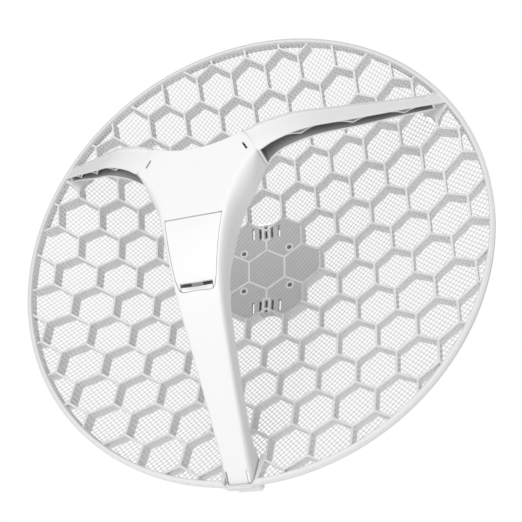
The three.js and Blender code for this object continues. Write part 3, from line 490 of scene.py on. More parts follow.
def foot_outline(grow):
    """The foot seen from in front, as a convex outline drawn further out by grow."""
    corner, low, half = FOOT_CORNER + grow, FOOT_Z - grow, FOOT_HALF + grow
    turn = np.linspace(0, math.pi / 2, 6)
    right = np.stack([half - corner + corner * np.cos(turn),
                      low + corner - corner * np.sin(turn)], 1)
    top = np.array([[arm_half_width(FOOT_TOP_Z) + grow, FOOT_TOP_Z + grow]])
    side = np.concatenate([top, right])
    return np.concatenate([side, side[::-1] * [-1, 1]])


# ---- Procedural materials ------------------------------------------------------------------------

def feed(tree, node, inputs):
    """Sets a node's sockets to values, or links them to other nodes' sockets."""
    for name, value in inputs.items():
        if isinstance(value, bpy.types.NodeSocket):
            tree.links.new(value, node.inputs[name])
        else:
            node.inputs[name].default_value = value


def add_node(tree, kind, inputs=None, output=0, **settings):
    """Adds a node with its settings, values and links, and gives back one of its outputs."""
    node = tree.nodes.new(kind)
    for name, value in settings.items():
        setattr(node, name, value)
    feed(tree, node, inputs or {})
    return node.outputs[output] if node.outputs else node


def tinted(base, share):
    """A colour made darker or lighter by a share, as the four values that a socket takes."""
    return tuple(min(part * share, 1) for part in base[:3]) + (1,)


def new_material(name, recipe, *values, **settings):
    """A material whose Principled shader takes the inputs that its recipe gives."""
    material = bpy.data.materials.new(name)
    material.use_nodes = True
    tree = material.node_tree
    feed(tree, tree.nodes["Principled BSDF"], recipe(tree, *values, **settings))
    return material


def grained(tree, base, grain, rough, relief, drift=None, dark=1.0, stretch=(1, 1, 1), metal=0.0):
    """Fine grain that varies the polish and the height, and a slow drift towards a darker tone.

    grain and drift are a feature's size in millimetres and its detail, rough the roughness where
    the grain is low and high, relief the grain's height in millimetres.
    """
    where = add_node(tree, "ShaderNodeTexCoord", output="Object")
    along = add_node(tree, "ShaderNodeMapping", {"Vector": where, "Scale": stretch})
    fine, slow = (add_node(tree, "ShaderNodeTexNoise", {
        "Vector": vector, "Scale": 1000 / size, "Detail": detail})
        for vector, (size, detail) in ((along, grain), (where, drift or grain)))
    if drift:
        base = add_node(tree, "ShaderNodeMix", {0: slow, 6: tinted(base, dark), 7: tinted(base, 1)},
                        output=2, data_type="RGBA")
    return {"Base Color": base, "Metallic": metal,
            "Roughness": add_node(tree, "ShaderNodeMapRange", {
                "Value": fine, "From Min": 0.3, "From Max": 0.7,
                "To Min": rough[0], "To Max": rough[1]}),
            "Normal": add_node(tree, "ShaderNodeBump", {
                "Height": fine, "Distance": relief / 1000, "Strength": 1.0})}


def ribbed_panel(tree, base):
    """Powder coat over fine ridges 3 mm apart that rise to the right, as the screen's bars do."""
    where = add_node(tree, "ShaderNodeTexCoord", output="Object")
    right, up = (add_node(tree, "ShaderNodeSeparateXYZ", {"Vector": where}, output=axis)
                 for axis in "XZ")
    across = add_node(tree, "ShaderNodeMath", {0: right, 1: up}, operation="SUBTRACT")
    # X less Z grows by 4.24 mm from one ridge to the next, which is 3 mm across the ridges.
    turn = add_node(tree, "ShaderNodeMath", {0: across, 1: 2 * math.pi / 0.00424},
                    operation="MULTIPLY")
    wave = add_node(tree, "ShaderNodeMath", {0: turn}, operation="SINE")
    level = add_node(tree, "ShaderNodeMapRange", {
        "Value": wave, "From Min": -1, "From Max": 1, "To Min": 0, "To Max": 1})
    # Patches 6 mm across keep the ridges from being perfectly even.
    wear = add_node(tree, "ShaderNodeTexNoise", {"Vector": where, "Scale": 1000 / 6, "Detail": 3})
    # The colour follows the ridges' height: painted shade in the grooves and a painted highlight on
    # the crests, mixed with the patches.
    ridges = add_node(tree, "ShaderNodeMath", {0: level, 1: 0.75}, operation="MULTIPLY")
    patches = add_node(tree, "ShaderNodeMath", {0: wear, 1: 0.25}, operation="MULTIPLY")
    tone = add_node(tree, "ShaderNodeMath", {0: ridges, 1: patches}, operation="ADD")
    return {"Base Color": add_node(tree, "ShaderNodeMix", {
                0: tone, 6: tinted(base, 0.84), 7: tinted(base, 1.12)}, output=2, data_type="RGBA"),
            "Roughness": 0.55,
            "Normal": add_node(tree, "ShaderNodeBump", {"Height": level, "Distance": 0.06 / 1000,
                                                        "Strength": 1.0})}


def circuit_board(tree):
    """Solder mask over copper: traces 1.2 mm apart show in patches as slightly lighter lines."""
    where = add_node(tree, "ShaderNodeTexCoord", output="Object")
    across = add_node(tree, "ShaderNodeSeparateXYZ", {"Vector": where}, output="X")
    bend, patch = (add_node(tree, "ShaderNodeTexNoise", {
        "Vector": where, "Scale": 1000 / size, "Detail": 1}) for size in (14, 9))
    # The traces wander by up to 6 mm, as routed ones do.
    shift = add_node(tree, "ShaderNodeMath", {0: bend, 1: 0.006}, operation="MULTIPLY")
    moved = add_node(tree, "ShaderNodeMath", {0: across, 1: shift}, operation="ADD")
    turn = add_node(tree, "ShaderNodeMath", {0: moved, 1: 2 * math.pi / 0.0012},
                    operation="MULTIPLY")
    wave = add_node(tree, "ShaderNodeMath", {0: turn}, operation="SINE")
    trace, island = (add_node(tree, "ShaderNodeMapRange", {
        "Value": value, "From Min": low, "From Max": high, "To Min": 0, "To Max": 1})
        for value, low, high in ((wave, 0.55, 0.75), (patch, 0.48, 0.56)))
    shown = add_node(tree, "ShaderNodeMath", {0: trace, 1: island}, operation="MULTIPLY")
    return {"Base Color": add_node(tree, "ShaderNodeMix", {
                0: shown, 6: linear("0E5A33"), 7: linear("2C8050")}, output=2, data_type="RGBA"),
            "Roughness": 0.32, "Coat Weight": 0.4,
            "Normal": add_node(tree, "ShaderNodeBump", {"Height": shown, "Distance": 0.03 / 1000,
                                                        "Strength": 1.0})}


FINISHES = {}


def materials():
    """Every finish by its short name, made once."""
    if FINISHES:
        return FINISHES
    dish, shell = tuple(finish().dish_colour), tuple(finish().shell_colour)
    # Powder coat: orange peel a millimetre across breaks up highlights; the tone drifts over 40 mm.
    coat = dict(grain=(1.2, 1), rough=(0.45, 0.55), relief=0.012, drift=(40, 2), dark=0.96)
    # Moulded ABS: a fine sparked texture softens highlights; the mould's polish drifts over 35 mm.
    moulded = dict(grain=(0.5, 2), relief=0.006, drift=(35, 2), dark=0.975)
    # Glass-filled nylon: dark and matt, with a speckle of its fibres.
    filled = dict(grain=(0.4, 3), rough=(0.5, 0.65), relief=0.01, drift=(0.4, 3), dark=0.8)
    # Bare or plated metal: the grain varies the polish, so that it isn't one even mirror.
    sheet = dict(relief=0.008, metal=1.0)
    FINISHES.update({
        "dish": new_material("Powder-coated die casting", grained, dish, **coat),
        # The screen's bars take the dish's paint darkened to 0.80, painted shade on the same coat.
        "screen": new_material("Powder-coated screen bars", grained, tinted(dish, 0.80), **coat),
        # The panel and the slot trays take the dish's paint darkened to 0.66, painted shade on the
        # same coat.
        "panel": new_material("Powder-coated panel", ribbed_panel, tinted(dish, 0.66)),
        "shell": new_material("ABS, moulded", grained, shell, rough=(0.38, 0.48), **moulded),
        # The channel's inside is the shell's plastic darkened to 0.36: painted shade for the hollow
        # under the arm.
        "channel": new_material("ABS, moulded, channel inside with painted shade", grained, tinted(shell, 0.36),
                                rough=(0.56, 0.66), **moulded),
        # The latch's stem is the shell's plastic darkened to 0.3: painted shade for its recess in
        # the slot.
        "stem": new_material("Moulded plastic, the latch's stem with painted shade", grained, tinted(shell, 0.3),
                             rough=(0.46, 0.56), **moulded),
        "shell_inside": new_material("ABS, moulded, inner face", grained, shell,
                                     rough=(0.51, 0.61), **moulded),
        "board": new_material("Solder mask on glass laminate", circuit_board),
        "nylon": new_material("Glass-filled nylon", grained, linear("1E1F21"), **filled),
        "steel": new_material("Tinned steel", grained, linear("C9CBCD"), grain=(0.8, 3),
                              rough=(0.22, 0.38), stretch=(1, 1, 5), **sheet),
        "brass": new_material("Brass sheet", grained, linear("D8B15A"), grain=(0.7, 3),
                              rough=(0.19, 0.35), stretch=(4, 1, 1), **sheet),
        "aluminium": new_material("Aluminium sheet", grained, linear("D5D7D9"), grain=(0.7, 3),
                                  rough=(0.26, 0.42), stretch=(1, 1, 6), **sheet),
        "zinc": new_material("Zinc-plated screw", grained, linear("C4C6CC"), grain=(0.3, 3),
                             rough=(0.24, 0.40), **sheet),
    })
    return FINISHES


# ---- Dish ----------------------------------------------------------------------------------------

def cell_corners(limit):
    """Middles of the cells nearer to the axis than a limit, and their corners."""
    pitch = mm(sizes().cell_pitch)
    rows = np.arange(-12, 13)
    row, column = (a.ravel() for a in np.meshgrid(rows, rows, indexing="ij"))
    middles = np.stack([(column + 0.5 * (row % 2)) * pitch, row * pitch * math.sqrt(3) / 2], 1)
    middles = middles[np.hypot(*middles.T) < limit]
    angle = np.radians(60) * np.arange(6)
    ring = pitch * CELL_RADIUS_RATIO * np.stack([np.sin(angle), np.cos(angle)], 1)
    return middles, middles[:, None] + ring[None]


def panel_cells():
    """The corners of the seven cells in the middle."""
    return cell_corners(mm(sizes().cell_pitch) * PANEL_CELLS)[1]


def panel_notch():
    """Half the width and the foot of what fills the notch above the panel's two top cells."""
    corner_z = 2 * mm(sizes().cell_pitch) * CELL_RADIUS_RATIO
    return (PANEL_FILL_Z - corner_z) * math.sqrt(3), corner_z


def dish_reach():
    """How far from the axis the ribs and the screen run, just into the rim."""
    return DISH_RADIUS - mm(sizes().rim_width) + 1


def tip_blocks(start, low):
    """What the screen and the ribs leave free at the two arm tips, from start outwards."""
    right = on_arm([(start, 0, low), (194, 0, -6.5), (194, 0, 4.5), (start, 0, 5)])[:, [0, 2]]
    return [right, right * [-1, 1]]


def inside_stretch(start, direction, polygon):
    """Where a line enters and leaves a convex polygon, as distances along it, or None."""
    corners = np.asarray(polygon, float)
    after = np.roll(corners, -1, 0)
    edges = after - corners
    turn = np.sign(np.sum(corners[:, 0] * after[:, 1] - corners[:, 1] * after[:, 0]))
    normals = np.stack([edges[:, 1], -edges[:, 0]], 1) * turn
    rate, room = normals @ direction, np.sum(normals * (corners - start), 1)
    along = np.abs(rate) < 1e-9
    if np.any(room[along] < 0):
        return None
    rate, room = rate[~along], room[~along]
    low, high = (room / rate)[rate < 0].max(), (room / rate)[rate > 0].min()
    return (low, high) if low < high else None


def open_stretches(start, direction, low, high, blocks):
    """What is left of one stretch of a line outside several convex polygons."""
    holes = [inside_stretch(start, direction, block) for block in blocks]
    left = []
    for begin, end in sorted(hole for hole in holes if hole):
        if begin > low:
            left.append((low, min(begin, high)))
        low = max(low, end)
    if low < high:
        left.append((low, high))
    return [(a, b) for a, b in left if b - a > 0.3]


def screen_bars(turn, shift):
    """One family of the screen's bars: parallel lines on the paraboloid, each a four-sided bar.

    A line lies at a distance c from the axis and runs along s, so that its depth at s is
    -(s^2 + c^2) / 4f. Lines stop in the rim, at the panel, and around the foot and the arm tips.
    """
    pitch, width, reach = mm(sizes().screen_pitch), mm(sizes().screen_bar), dish_reach()
    direction = np.array([math.cos(turn), math.sin(turn)])
    normal = np.array([-direction[1], direction[0]])
    half, corner_z = panel_notch()
    blocks = list(panel_cells())
    for side in (1, -1):
        blocks.append([(-half, side * (corner_z - 9)), (half, side * (corner_z - 9)),
                       (half * 0.8, side * PANEL_FILL_Z), (-half * 0.8, side * PANEL_FILL_Z)])
    blocks += [foot_outline(1.0)] + tip_blocks(176, -8)
    section = np.array([(-width / 2, 0), (width / 2, 0), (width / 2, SCREEN_BAR_DEPTH),
                        (-width / 2, SCREEN_BAR_DEPTH)])
    count = int(reach / pitch)
    offsets = (np.arange(-count, count + 1) + 0.5) * pitch
    bars = []
    for offset in offsets[np.abs(offsets) < reach]:
        start = normal * offset
        end = math.sqrt(reach ** 2 - offset ** 2)
        for low, high in open_stretches(start, direction, -end, end, blocks):
            along = np.linspace(low, high, max(2, int((high - low) / 5) + 2))
            flat = start + along[:, None] * direction
            x = flat[:, None, 0] + section[None, :, 0] * normal[0]
            z = flat[:, None, 1] + section[None, :, 0] * normal[1]
            y = dish_depth(*flat.T)[:, None] + SCREEN_SETBACK + shift + section[None, :, 1]
            bars.append(carried(np.stack([x, y, z], 2)))
    return together(*bars)


def unique_edges(corners):
    """The edges of many cells, with an edge that two cells share kept once."""
    starts = corners.reshape(-1, 2)
    ends = np.roll(corners, -1, 1).reshape(-1, 2)
    middle = np.round((starts + ends) / 2, 2)
    _, first = np.unique(middle, axis=0, return_index=True)
    return starts[first], ends[first]


def ridge_section(depth, width):
    """Across a rib or a ridge: a flat front edge with small bevels, and straight flanks."""
    half = width / 2
    return [(-half, BEVEL), (-half + BEVEL, 0), (half - BEVEL, 0), (half, BEVEL), (half, depth),
            (-half, depth)]


def dish_walls(starts, ends, setback, section):
    """Straight walls of one section whose front edges lie setback behind the dish's surface."""
    flat = (ends - starts) / np.linalg.norm(ends - starts, axis=1)[:, None]
    across = np.stack([-flat[:, 1], np.zeros(len(flat)), flat[:, 0]], 1)
    begin, end = (np.stack([p[:, 0], dish_depth(*p.T) + setback, p[:, 1]], 1)
                  for p in (starts, ends))
    return tubes(begin, end, across, section)


def joint_posts(joints, setback, depth, width):
    """A slim post at each corner of the cells, which fills the knot where the walls meet."""
    post = [(POLE, 0), (width * 0.5, 0), (width * 0.6, BEVEL), (width * 0.62, depth), (POLE, depth)]
    return [turned([(r, y + dish_depth(x, z) + setback) for r, y in post], 8, (x, z))
            for x, z in joints]


def ribs():
    """Every edge of the cells outside the panel as a wall whose front edge lies on the dish.

    An edge that crosses the rim stops where |start + t run| = reach, the larger root of the
    quadratic in t.
    """
    depth, width, reach = mm(sizes().rib_depth), mm(sizes().rib_width), dish_reach()
    middles, corners = cell_corners(DISH_RADIUS + 12)
    near = np.hypot(*middles.T) < mm(sizes().cell_pitch) * PANEL_CELLS
    starts, ends = unique_edges(corners[~near])
    panel_middles = np.round(sum(unique_edges(corners[near])) / 2, 1)
    middle = np.round((starts + ends) / 2, 1)
    apart = np.abs(middle[:, None] - panel_middles[None]).max(2).min(1) > 0.3
    starts, ends = starts[apart], ends[apart]
    inside, inside_end = (np.hypot(*p.T) < reach for p in (starts, ends))
    swap = ~inside & inside_end
    starts[swap], ends[swap] = ends[swap].copy(), starts[swap].copy()
    starts, ends = starts[inside | inside_end], ends[inside | inside_end]
    run = ends - starts
    a, b = np.sum(run ** 2, 1), np.sum(starts * run, 1)
    c = np.sum(starts ** 2, 1) - reach ** 2
    ends = starts + run * np.minimum(1, (-b + np.sqrt(np.maximum(b ** 2 - a * c, 0))) / a)[:, None]
    blocks = [foot_outline(1.0)] + tip_blocks(177, -7.5)
    pieces = []
    for start, end in zip(starts, ends):
        span = np.linalg.norm(end - start)
        direction = (end - start) / max(span, 1e-6)
        for low, high in open_stretches(start, direction, 0, span, blocks):
            pieces.append((start + direction * low, start + direction * high))
    walls = dish_walls(*np.array(pieces).transpose(1, 0, 2), 0, ridge_section(depth, width))
    joints = np.unique(np.round(np.concatenate([starts, ends]), 2), axis=0)
    off_foot = (np.abs(joints[:, 0]) > 11) | (joints[:, 1] > -172)
    joints = joints[(np.hypot(*joints.T) < reach - 0.5) & off_foot]
    return together(walls, *joint_posts(joints, 0, depth, width))


def rim():
    """The rim's section, a rounded front lip on a wall, carried round the axis past the foot."""
    outer = DISH_RADIUS
    inner = outer - mm(sizes().rim_width)
    front = float(dish_depth(outer, 0))
    rear = float(dish_depth(inner, 0)) + 0.55 * mm(sizes().rib_depth)
    section = [
        (inner, front + 1.4), (inner + 0.15, front + 0.6), (inner + 0.55, front + BEVEL),
        (inner + 1.0, front), (inner + 1.6, front + 0.12), (inner + 2.7, front + 0.55),
        (inner + 3.1, front + 0.8), (inner + 3.15, front + 1.25), (inner + 3.45, front + 1.25),
        (inner + 3.5, front + 0.95), (outer - 0.15, front + 1.1), (outer, front + 1.35),
        (outer, front + RIM_DEPTH - 0.3), (outer - 0.3, front + RIM_DEPTH),
        (inner + 2, front + RIM_DEPTH), (inner + 2, rear), (inner, rear),
    ]
    gap = math.asin((foot_outline(0)[:, 0].max() + 4) / outer)
    return turned(section, 361, begin=-math.pi / 2 + gap, end=3 * math.pi / 2 - gap)


def cradle():
    """A band carried round the foot: thin and shallow under it, a deep wall beside it."""
    inner = foot_outline(GAP + 0.45)
    centre = np.array([0, FOOT_TOP_Z])
    inner[0, 1] = inner[-1, 1] = FOOT_TOP_Z + 2.5
    outward = np.stack([np.gradient(inner[:, 1]), -np.gradient(inner[:, 0])], 1)
    outward /= np.linalg.norm(outward, axis=1)[:, None]
    if np.sum(outward[len(outward) // 4] * (inner[len(inner) // 4] - centre)) < 0:
        outward = -outward
    beside = smoothstep(FOOT_Z + 1.5, FOOT_Z + 7, inner[:, 1])
    outer = inner + outward * (CRADLE_LIP + (CRADLE_WALL - CRADLE_LIP) * beside)[:, None]
    lip_rear = float(dish_depth(DISH_RADIUS, 0)) + RIM_DEPTH
    rears = lip_rear + (CRADLE_REAR_Y - lip_rear) * beside
    sections = []
    edge = CRADLE_EDGE
    for place_in, place_out, rear in zip(inner, outer, rears):
        step = (place_out - place_in) / max(np.linalg.norm(place_out - place_in), 1e-6)
        near, far = float(dish_depth(*place_in)), float(dish_depth(*place_out))
        section = [(place_in, near + edge), (place_in + step * edge * 0.3, near + edge * 0.3),
                   (place_in + step * edge, near), (place_out - step * edge, far),
                   (place_out - step * edge * 0.3, far + edge * 0.3), (place_out, far + edge),
                   (place_out, rear), (place_in, rear)]
        sections.append([(p[0], y, p[1]) for p, y in section])
    return carried(sections)


def rim_boss():
    """The thicker stretch of rim under the foot: an arc whose outer side swells in the middle."""
    share = np.linspace(-1, 1, 33)
    x = share * BOSS_HALF
    arc = -np.sqrt(DISH_RADIUS ** 2 - x ** 2)
    top = arc + 3.2 * smoothstep(0.55, 0.75, np.abs(share)) + 0.55
    low = arc - BOSS_SWELL * (1 - smoothstep(0.3, 1.0, np.abs(share)))
    front = float(dish_depth(DISH_RADIUS, 0))
    rear = front + RIM_DEPTH
    return carried([
        [(across, front + 0.6, upper), (across, front + 0.15, upper - 0.3),
         (across, front + 0.1, (upper + under) / 2), (across, front + 0.5, under + 0.45),
         (across, front + 1.2, under), (across, rear - 0.4, under), (across, rear, under + 0.4),
         (across, rear, upper)] for across, upper, under in zip(x, top, low)])


def arm_seat():
    """The solid seat around the right-hand arm's tip, behind the dish's surface, and its recess."""
    points = on_arm([(polar, 0, across) for polar, across in SEAT_OUTLINE])
    front = dish_depth(points[:, 0], points[:, 2]) + 0.1
    seat = prism(points[:, [0, 2]], front, front + SEAT_SHARE * mm(sizes().rib_depth))
    low, high = (spline(*edge, 193) for edge in (LOWER_EDGE, UPPER_EDGE))
    recess = on_arm([(r, 0, t) for r, t in [
        (170, spline(*LOWER_EDGE, 176) - 0.5), (TIP_RADIUS - 1.2, low - 0.5),
        (TIP_RADIUS + 0.5, low + 1.2), (TIP_RADIUS + 0.5, high - 1.2),
        (TIP_RADIUS - 1.2, high + 0.5), (170, spline(*UPPER_EDGE, 176) + 0.5)]])
    return seat, prism(recess[:, [0, 2]], -90, SEAT_FLOOR_Y)


def bolt_holes(reach):
    return [turned([(POLE, -reach), (BOLT_RADIUS, -reach), (BOLT_RADIUS, reach), (POLE, reach)],
                   24, bolt) for bolt in BOLTS]


def centre_panel():
    """The panel's plate: a slab curved as the dish, its outline, and its slots and bolt holes.

    The outline is that of the seven middle cells, with the two notches filled up to one level.
    """
    step = 1.5
    x, z = (np.arange(-half, half + step / 2, step) for half in (52.5, 48))
    zz, xx = np.meshgrid(z, x, indexing="ij")
    near = np.stack([xx, dish_depth(xx, zz) + PANEL_SETBACK + PANEL_RIDGE, zz], 2)
    slab = between(near, near + [0, PANEL_THICKNESS - PANEL_RIDGE, 0])
    half, _ = panel_notch()
    corners = np.unique(np.round(panel_cells().reshape(-1, 2), 3), axis=0)
    outer = corners[np.hypot(*corners.T) > mm(sizes().cell_pitch) * 1.05]
    outer = outer[np.abs(outer[:, 0]) > 1]
    fill = np.array([(half + 2.0, PANEL_FILL_Z + 1.15), (half + 0.3, PANEL_FILL_Z + 0.35),
                     (half - 1.6, PANEL_FILL_Z)])
    points = np.concatenate([outer, fill, fill * [-1, 1], fill * [1, -1], -fill])
    outline = points[np.argsort(np.arctan2(points[:, 1], points[:, 0]))]
    holes = bolt_holes(30)
    for x in SLOT_XS:
        for low, high in ((SLOT_LOW_Z, SLOT_HIGH_Z), (-SLOT_LOW_Z, -SLOT_HIGH_Z)):
            holes.append(prism([(x - 1, low), (x + 1, low), (x + 1, high), (x - 1, high)], -30, 30))
    return slab, prism(outline, -60, 60), holes


def panel_ridges():
    """Ridges along the panel's cell edges, walls behind them, rings at the bolts, slot frames."""
    starts, ends = unique_edges(panel_cells())
    depth, width = mm(sizes().rib_depth), mm(sizes().rib_width)
    # The ridge on the middle line stops where the frame of the middle slot begins.
    at_frame = (np.abs(starts[:, 0]) < 1) & (np.abs(ends[:, 0]) < 1) & (
        np.abs(starts[:, 1] + ends[:, 1]) > 40)
    stop = np.sign(starts[:, 1:] + ends[:, 1:]) * [[0, 27.6]]
    starts, ends = (np.where((at_frame & (np.abs(p[:, 1]) > 30))[:, None], stop, p)
                    for p in (starts, ends))
    joints = np.unique(np.round(np.concatenate([starts, ends]), 2), axis=0)
    joints = joints[(np.abs(joints[:, 0]) > 1) | (np.abs(joints[:, 1]) < 25)]
    meshes = [dish_walls(starts, ends, PANEL_SETBACK, ridge_section(depth, width))]
    meshes += joint_posts(joints, PANEL_SETBACK, depth, width)
    for x, z in BOLTS:
        face = float(dish_depth(x, z)) + PANEL_SETBACK
        ring = [(BOLT_RADIUS, face + 0.35), (2.3, face + 0.05), (3.3, face + 0.05),
                (3.8, face + 0.5), (3.8, face + 2), (BOLT_RADIUS, MOUNT_FACE_Y - 0.2)]
        meshes.append(turned(ring, 32, (x, z)))
    for side in (1, -1):
        low, high = side * (SLOT_LOW_Z - 2.1), side * (PANEL_FILL_Z - 0.3)
        frame_line = np.array([(-FRAME_HALF, high), (-FRAME_HALF, low), (FRAME_HALF, low),
                               (FRAME_HALF, high)])
        meshes.append(dish_walls(frame_line[:-1], frame_line[1:], PANEL_SETBACK,
                                 ridge_section(2.0, width)))
    return together(*meshes)


def slot_trays():
    """A shallow tray behind each row of slots: a back and four walls."""
    front, floor, rear, wall = 2.2, 8.2, 9.2, 1.0
    half = TRAY_HALF
    boxes = []
    for low, high in ((28.6, 41.4), (-41.4, -28.6)):
        boxes += [box_solid((-half, floor, low), (half, rear, high)),
                  box_solid((-half, front, low), (wall - half, floor, high)),
                  box_solid((half - wall, front, low), (half, floor, high)),
                  box_solid((wall - half, front, low), (half - wall, floor, low + wall)),
                  box_solid((wall - half, front, high - wall), (half - wall, floor, high))]
    return together(*boxes)


def mounting_pad():
    """The flat seat at the rear: a plate with rounded corners and edges."""
    quarter = np.linspace(0, math.pi / 2, 7)
    ring = np.concatenate([
        np.stack([sx * (PAD_HALF_X - PAD_CORNER) + PAD_CORNER * np.cos(quarter + turn),
                  sz * (PAD_HALF_Z - PAD_CORNER) + PAD_CORNER * np.sin(quarter + turn)], 1)
        for sx, sz, turn in ((1, 1, 0), (-1, 1, math.pi / 2), (-1, -1, math.pi),
                             (1, -1, 1.5 * math.pi))])
    front, rear = MOUNT_FACE_Y - PAD_THICKNESS, MOUNT_FACE_Y
    levels = [(0.97, front), (1, front + 0.6), (1, rear - 0.6), (0.975, rear)]
    return carried([np.stack([ring[:, 0] * s, np.full(len(ring), y), ring[:, 1] * s], 1)
                    for s, y in levels])


# ---- Head and bottom arm -------------------------------------------------------------------------

def end_wall(row):
    """The wall at an end of the tray: the end's row again, moved back to the rear in steps."""
    walls = np.repeat(row[None], len(WALL_SHARES), 0)
    corner = row[4, 1] + (row[0, 1] - row[4, 1]) * WALL_SHARES
    walls[:, :, 1] = np.maximum(row[None, :, 1], corner[:, None])
    return walls


def shell_grid(inset):
    """The head and bottom arm as a tray: its face, its rounded edges and its walls, in one grid.

    Rows run up from the foot; past the seams' lower ends they bend to follow the head's top arc.
    Columns run across: side wall, quarter ellipse, face, quarter ellipse, side wall. The face is
    the front surface; the walls go straight back to the rear edge.
    """
    end_edge = max(END_EDGE - inset, LEAST_EDGE)
    end_in, end_back = rounded_steps(end_edge, EDGE_STEPS)
    seam_low_z = SEAM_RADIUS * math.sin(SEAM_LOW)
    low = FOOT_Z + inset
    straight = np.concatenate([low + end_in, np.linspace(low + end_edge + 0.7, low + 8, 5),
                               np.linspace(low + 11, seam_low_z - 2.5, 60), [seam_low_z]])
    bend = np.concatenate([np.linspace(0, 0.9, 10)[1:], 1 - end_in[::-1] / 25])
    half = np.asarray(arm_half_width(straight))
    from_foot = FOOT_CORNER - np.clip(straight - FOOT_Z, 0, FOOT_CORNER)
    half = half - (FOOT_CORNER - np.sqrt(FOOT_CORNER ** 2 - from_foot ** 2)) - inset
    angle = SEAM_LOW + bend * (SEAM_HIGH - SEAM_LOW)
    edge_x = np.concatenate([half, (SEAM_RADIUS - inset) * np.cos(angle)])
    edge_z = np.concatenate([straight, (SEAM_RADIUS - inset) * np.sin(angle)])
    morph = np.concatenate([np.zeros(len(straight)), bend])
    back = np.concatenate([end_back, np.zeros(len(edge_x) - 2 * len(end_back)), end_back[::-1]])
    run, deep = (np.where(morph > 0, SEAM_EDGE, np.maximum(
        np.interp(edge_z, EDGE_HEIGHTS, shares) * mm(size) - inset, LEAST_EDGE))
        for shares, size in ((EDGE_RUN_SHARES, sizes().edge_radius),
                             (EDGE_DEPTH_SHARES, sizes().head_edge_radius)))
    turn = np.linspace(0, math.pi / 2, sizes().arc_steps + 1)
    across_edge = run[:, None] * (1 - np.cos(turn))[None]
    back_edge = deep[:, None] * (1 - np.sin(turn))[None]
    inner = (edge_x - run)[:, None] * np.linspace(-1, 1, 31)[1:-1][None]
    left = -(edge_x[:, None] - across_edge)
    x = np.concatenate([left, inner, -left[:, ::-1]], 1)
    y_back = np.concatenate([back_edge, np.zeros_like(inner), back_edge[:, ::-1]], 1)
    top_x = SEAM_RADIUS * math.cos(SEAM_HIGH)
    arc = HEAD_TOP_Z - inset + HEAD_TOP_ARC - np.sqrt(
        HEAD_TOP_ARC ** 2 - (x / edge_x[:, None] * top_x) ** 2)
    z = edge_z[:, None] + morph[:, None] * (arc - edge_z[-1])
    y = scooped(x, z) + inset + y_back + back[:, None]
    rear = arm_rear(edge_z)[:, None]
    wall_left = y[:, :1] + (rear - y[:, :1]) * WALL_SHARES[None]
    wall_right = (y[:, -1:] + (rear - y[:, -1:]) * WALL_SHARES[None])[:, ::-1]
    x, z = (np.concatenate([np.repeat(a[:, :1], 4, 1), a, np.repeat(a[:, -1:], 4, 1)], 1)
            for a in (x, z))
    grid = np.stack([x, np.concatenate([wall_left, y, wall_right], 1), z], 2)
    return np.concatenate([end_wall(grid[0]), grid, end_wall(grid[-1])[::-1]])


def shell_cutters():
    """The door's opening, the arms' snap slots with their passages, and the slits in the foot.

    The two slits stand beside the foot's middle tongue and are open at its lower edge.
    """
    cutters = [prism(opening_outline(GAP), -175, -136)]
    low, high = SNAP_ACROSS
    y0 = float(front_line(SEAM_RADIUS)) + WALL
    for points, faces in (
            box_solid((SNAP_X - SNAP_HALF, -170, low), (SNAP_X + SNAP_HALF,
                                                        HEAD_FRONT_Y + WALL + 2, high)),
            box_solid((38, y0, low), (53, y0 + SIDE_ARM_WALL + 0.6, high))):
        slot = (on_arm(points), faces)
        cutters += [slot, mirrored(slot)]
    depth = float(front_line(-FOOT_Z)) + WALL + 1
    slit = box_solid((SLIT[0], -200, FOOT_Z - 2), (SLIT[1], depth, FOOT_Z + SLIT_HEIGHT))
    return cutters + [slit, mirrored(slit)]


# ---- Door and latch ------------------------------------------------------------------------------

def door_half(z):
    share = (np.asarray(z, float) - DOOR_BOTTOM_Z) / (DOOR_TOP_Z - DOOR_BOTTOM_Z)
    return DOOR_BOTTOM_HALF + (DOOR_TOP_HALF - DOOR_BOTTOM_HALF) * share


def door_rise(x):
    """How far the door's lower edge rises in the middle, where a finger reaches the thumb bar."""
    return DOOR_RISE * (1 - smoothstep(2, 8, x))


def opening_outline(grow):
    """The outline of the door, or of its opening, drawn out by grow: round lower corners."""
    half_top = door_half(DOOR_TOP_Z) + grow
    half_low = door_half(DOOR_BOTTOM_Z) + grow
    top, low = DOOR_TOP_Z + grow, DOOR_BOTTOM_Z - grow
    turn = np.linspace(0, math.pi / 2, 6)
    upper = np.stack([half_top - DOOR_TOP_CORNER + DOOR_TOP_CORNER * np.sin(turn),
                      top - DOOR_TOP_CORNER + DOOR_TOP_CORNER * np.cos(turn)], 1)
    lower = np.stack([half_low - DOOR_CORNER + DOOR_CORNER * np.cos(turn),
                      low + DOOR_CORNER - DOOR_CORNER * np.sin(turn)], 1)
    x = np.linspace(half_low - DOOR_CORNER, 0, 9)[1:]
    under = np.stack([x, low + door_rise(x)], 1)
    side_z = np.linspace(top - DOOR_TOP_CORNER, low + DOOR_CORNER, 14)[1:-1]
    side = np.stack([door_half(side_z) + grow, side_z], 1)
    right = np.concatenate([upper, side, lower, under])
    return np.concatenate([right, right[-2:0:-1] * [-1, 1]])


def front_slab(x_half, low, high, behind, thickness, step=1.2):
    """A slab that lies behind the front surface, over a rectangle seen from in front."""
    x = np.linspace(-x_half, x_half, int(2 * x_half / step) + 1)
    z = np.linspace(low, high, int((high - low) / step) + 1)
    zz, xx = np.meshgrid(z, x, indexing="ij")
    near = np.stack([xx, scooped(xx, zz) + behind, zz], 2)
    return between(near, near + [0, thickness, 0])


def bar_along_x(radius, half, y, z, sides=24):
    """A round bar along X with its ends bevelled."""
    bevel = 0.15
    profile = [(POLE, -half), (radius - bevel, -half), (radius, bevel - half),
               (radius, half - bevel), (radius - bevel, half), (POLE, half)]
    points, faces = turned(profile, sides)
    return np.stack([points[:, 1], y + points[:, 0], z + points[:, 2]], 1), faces


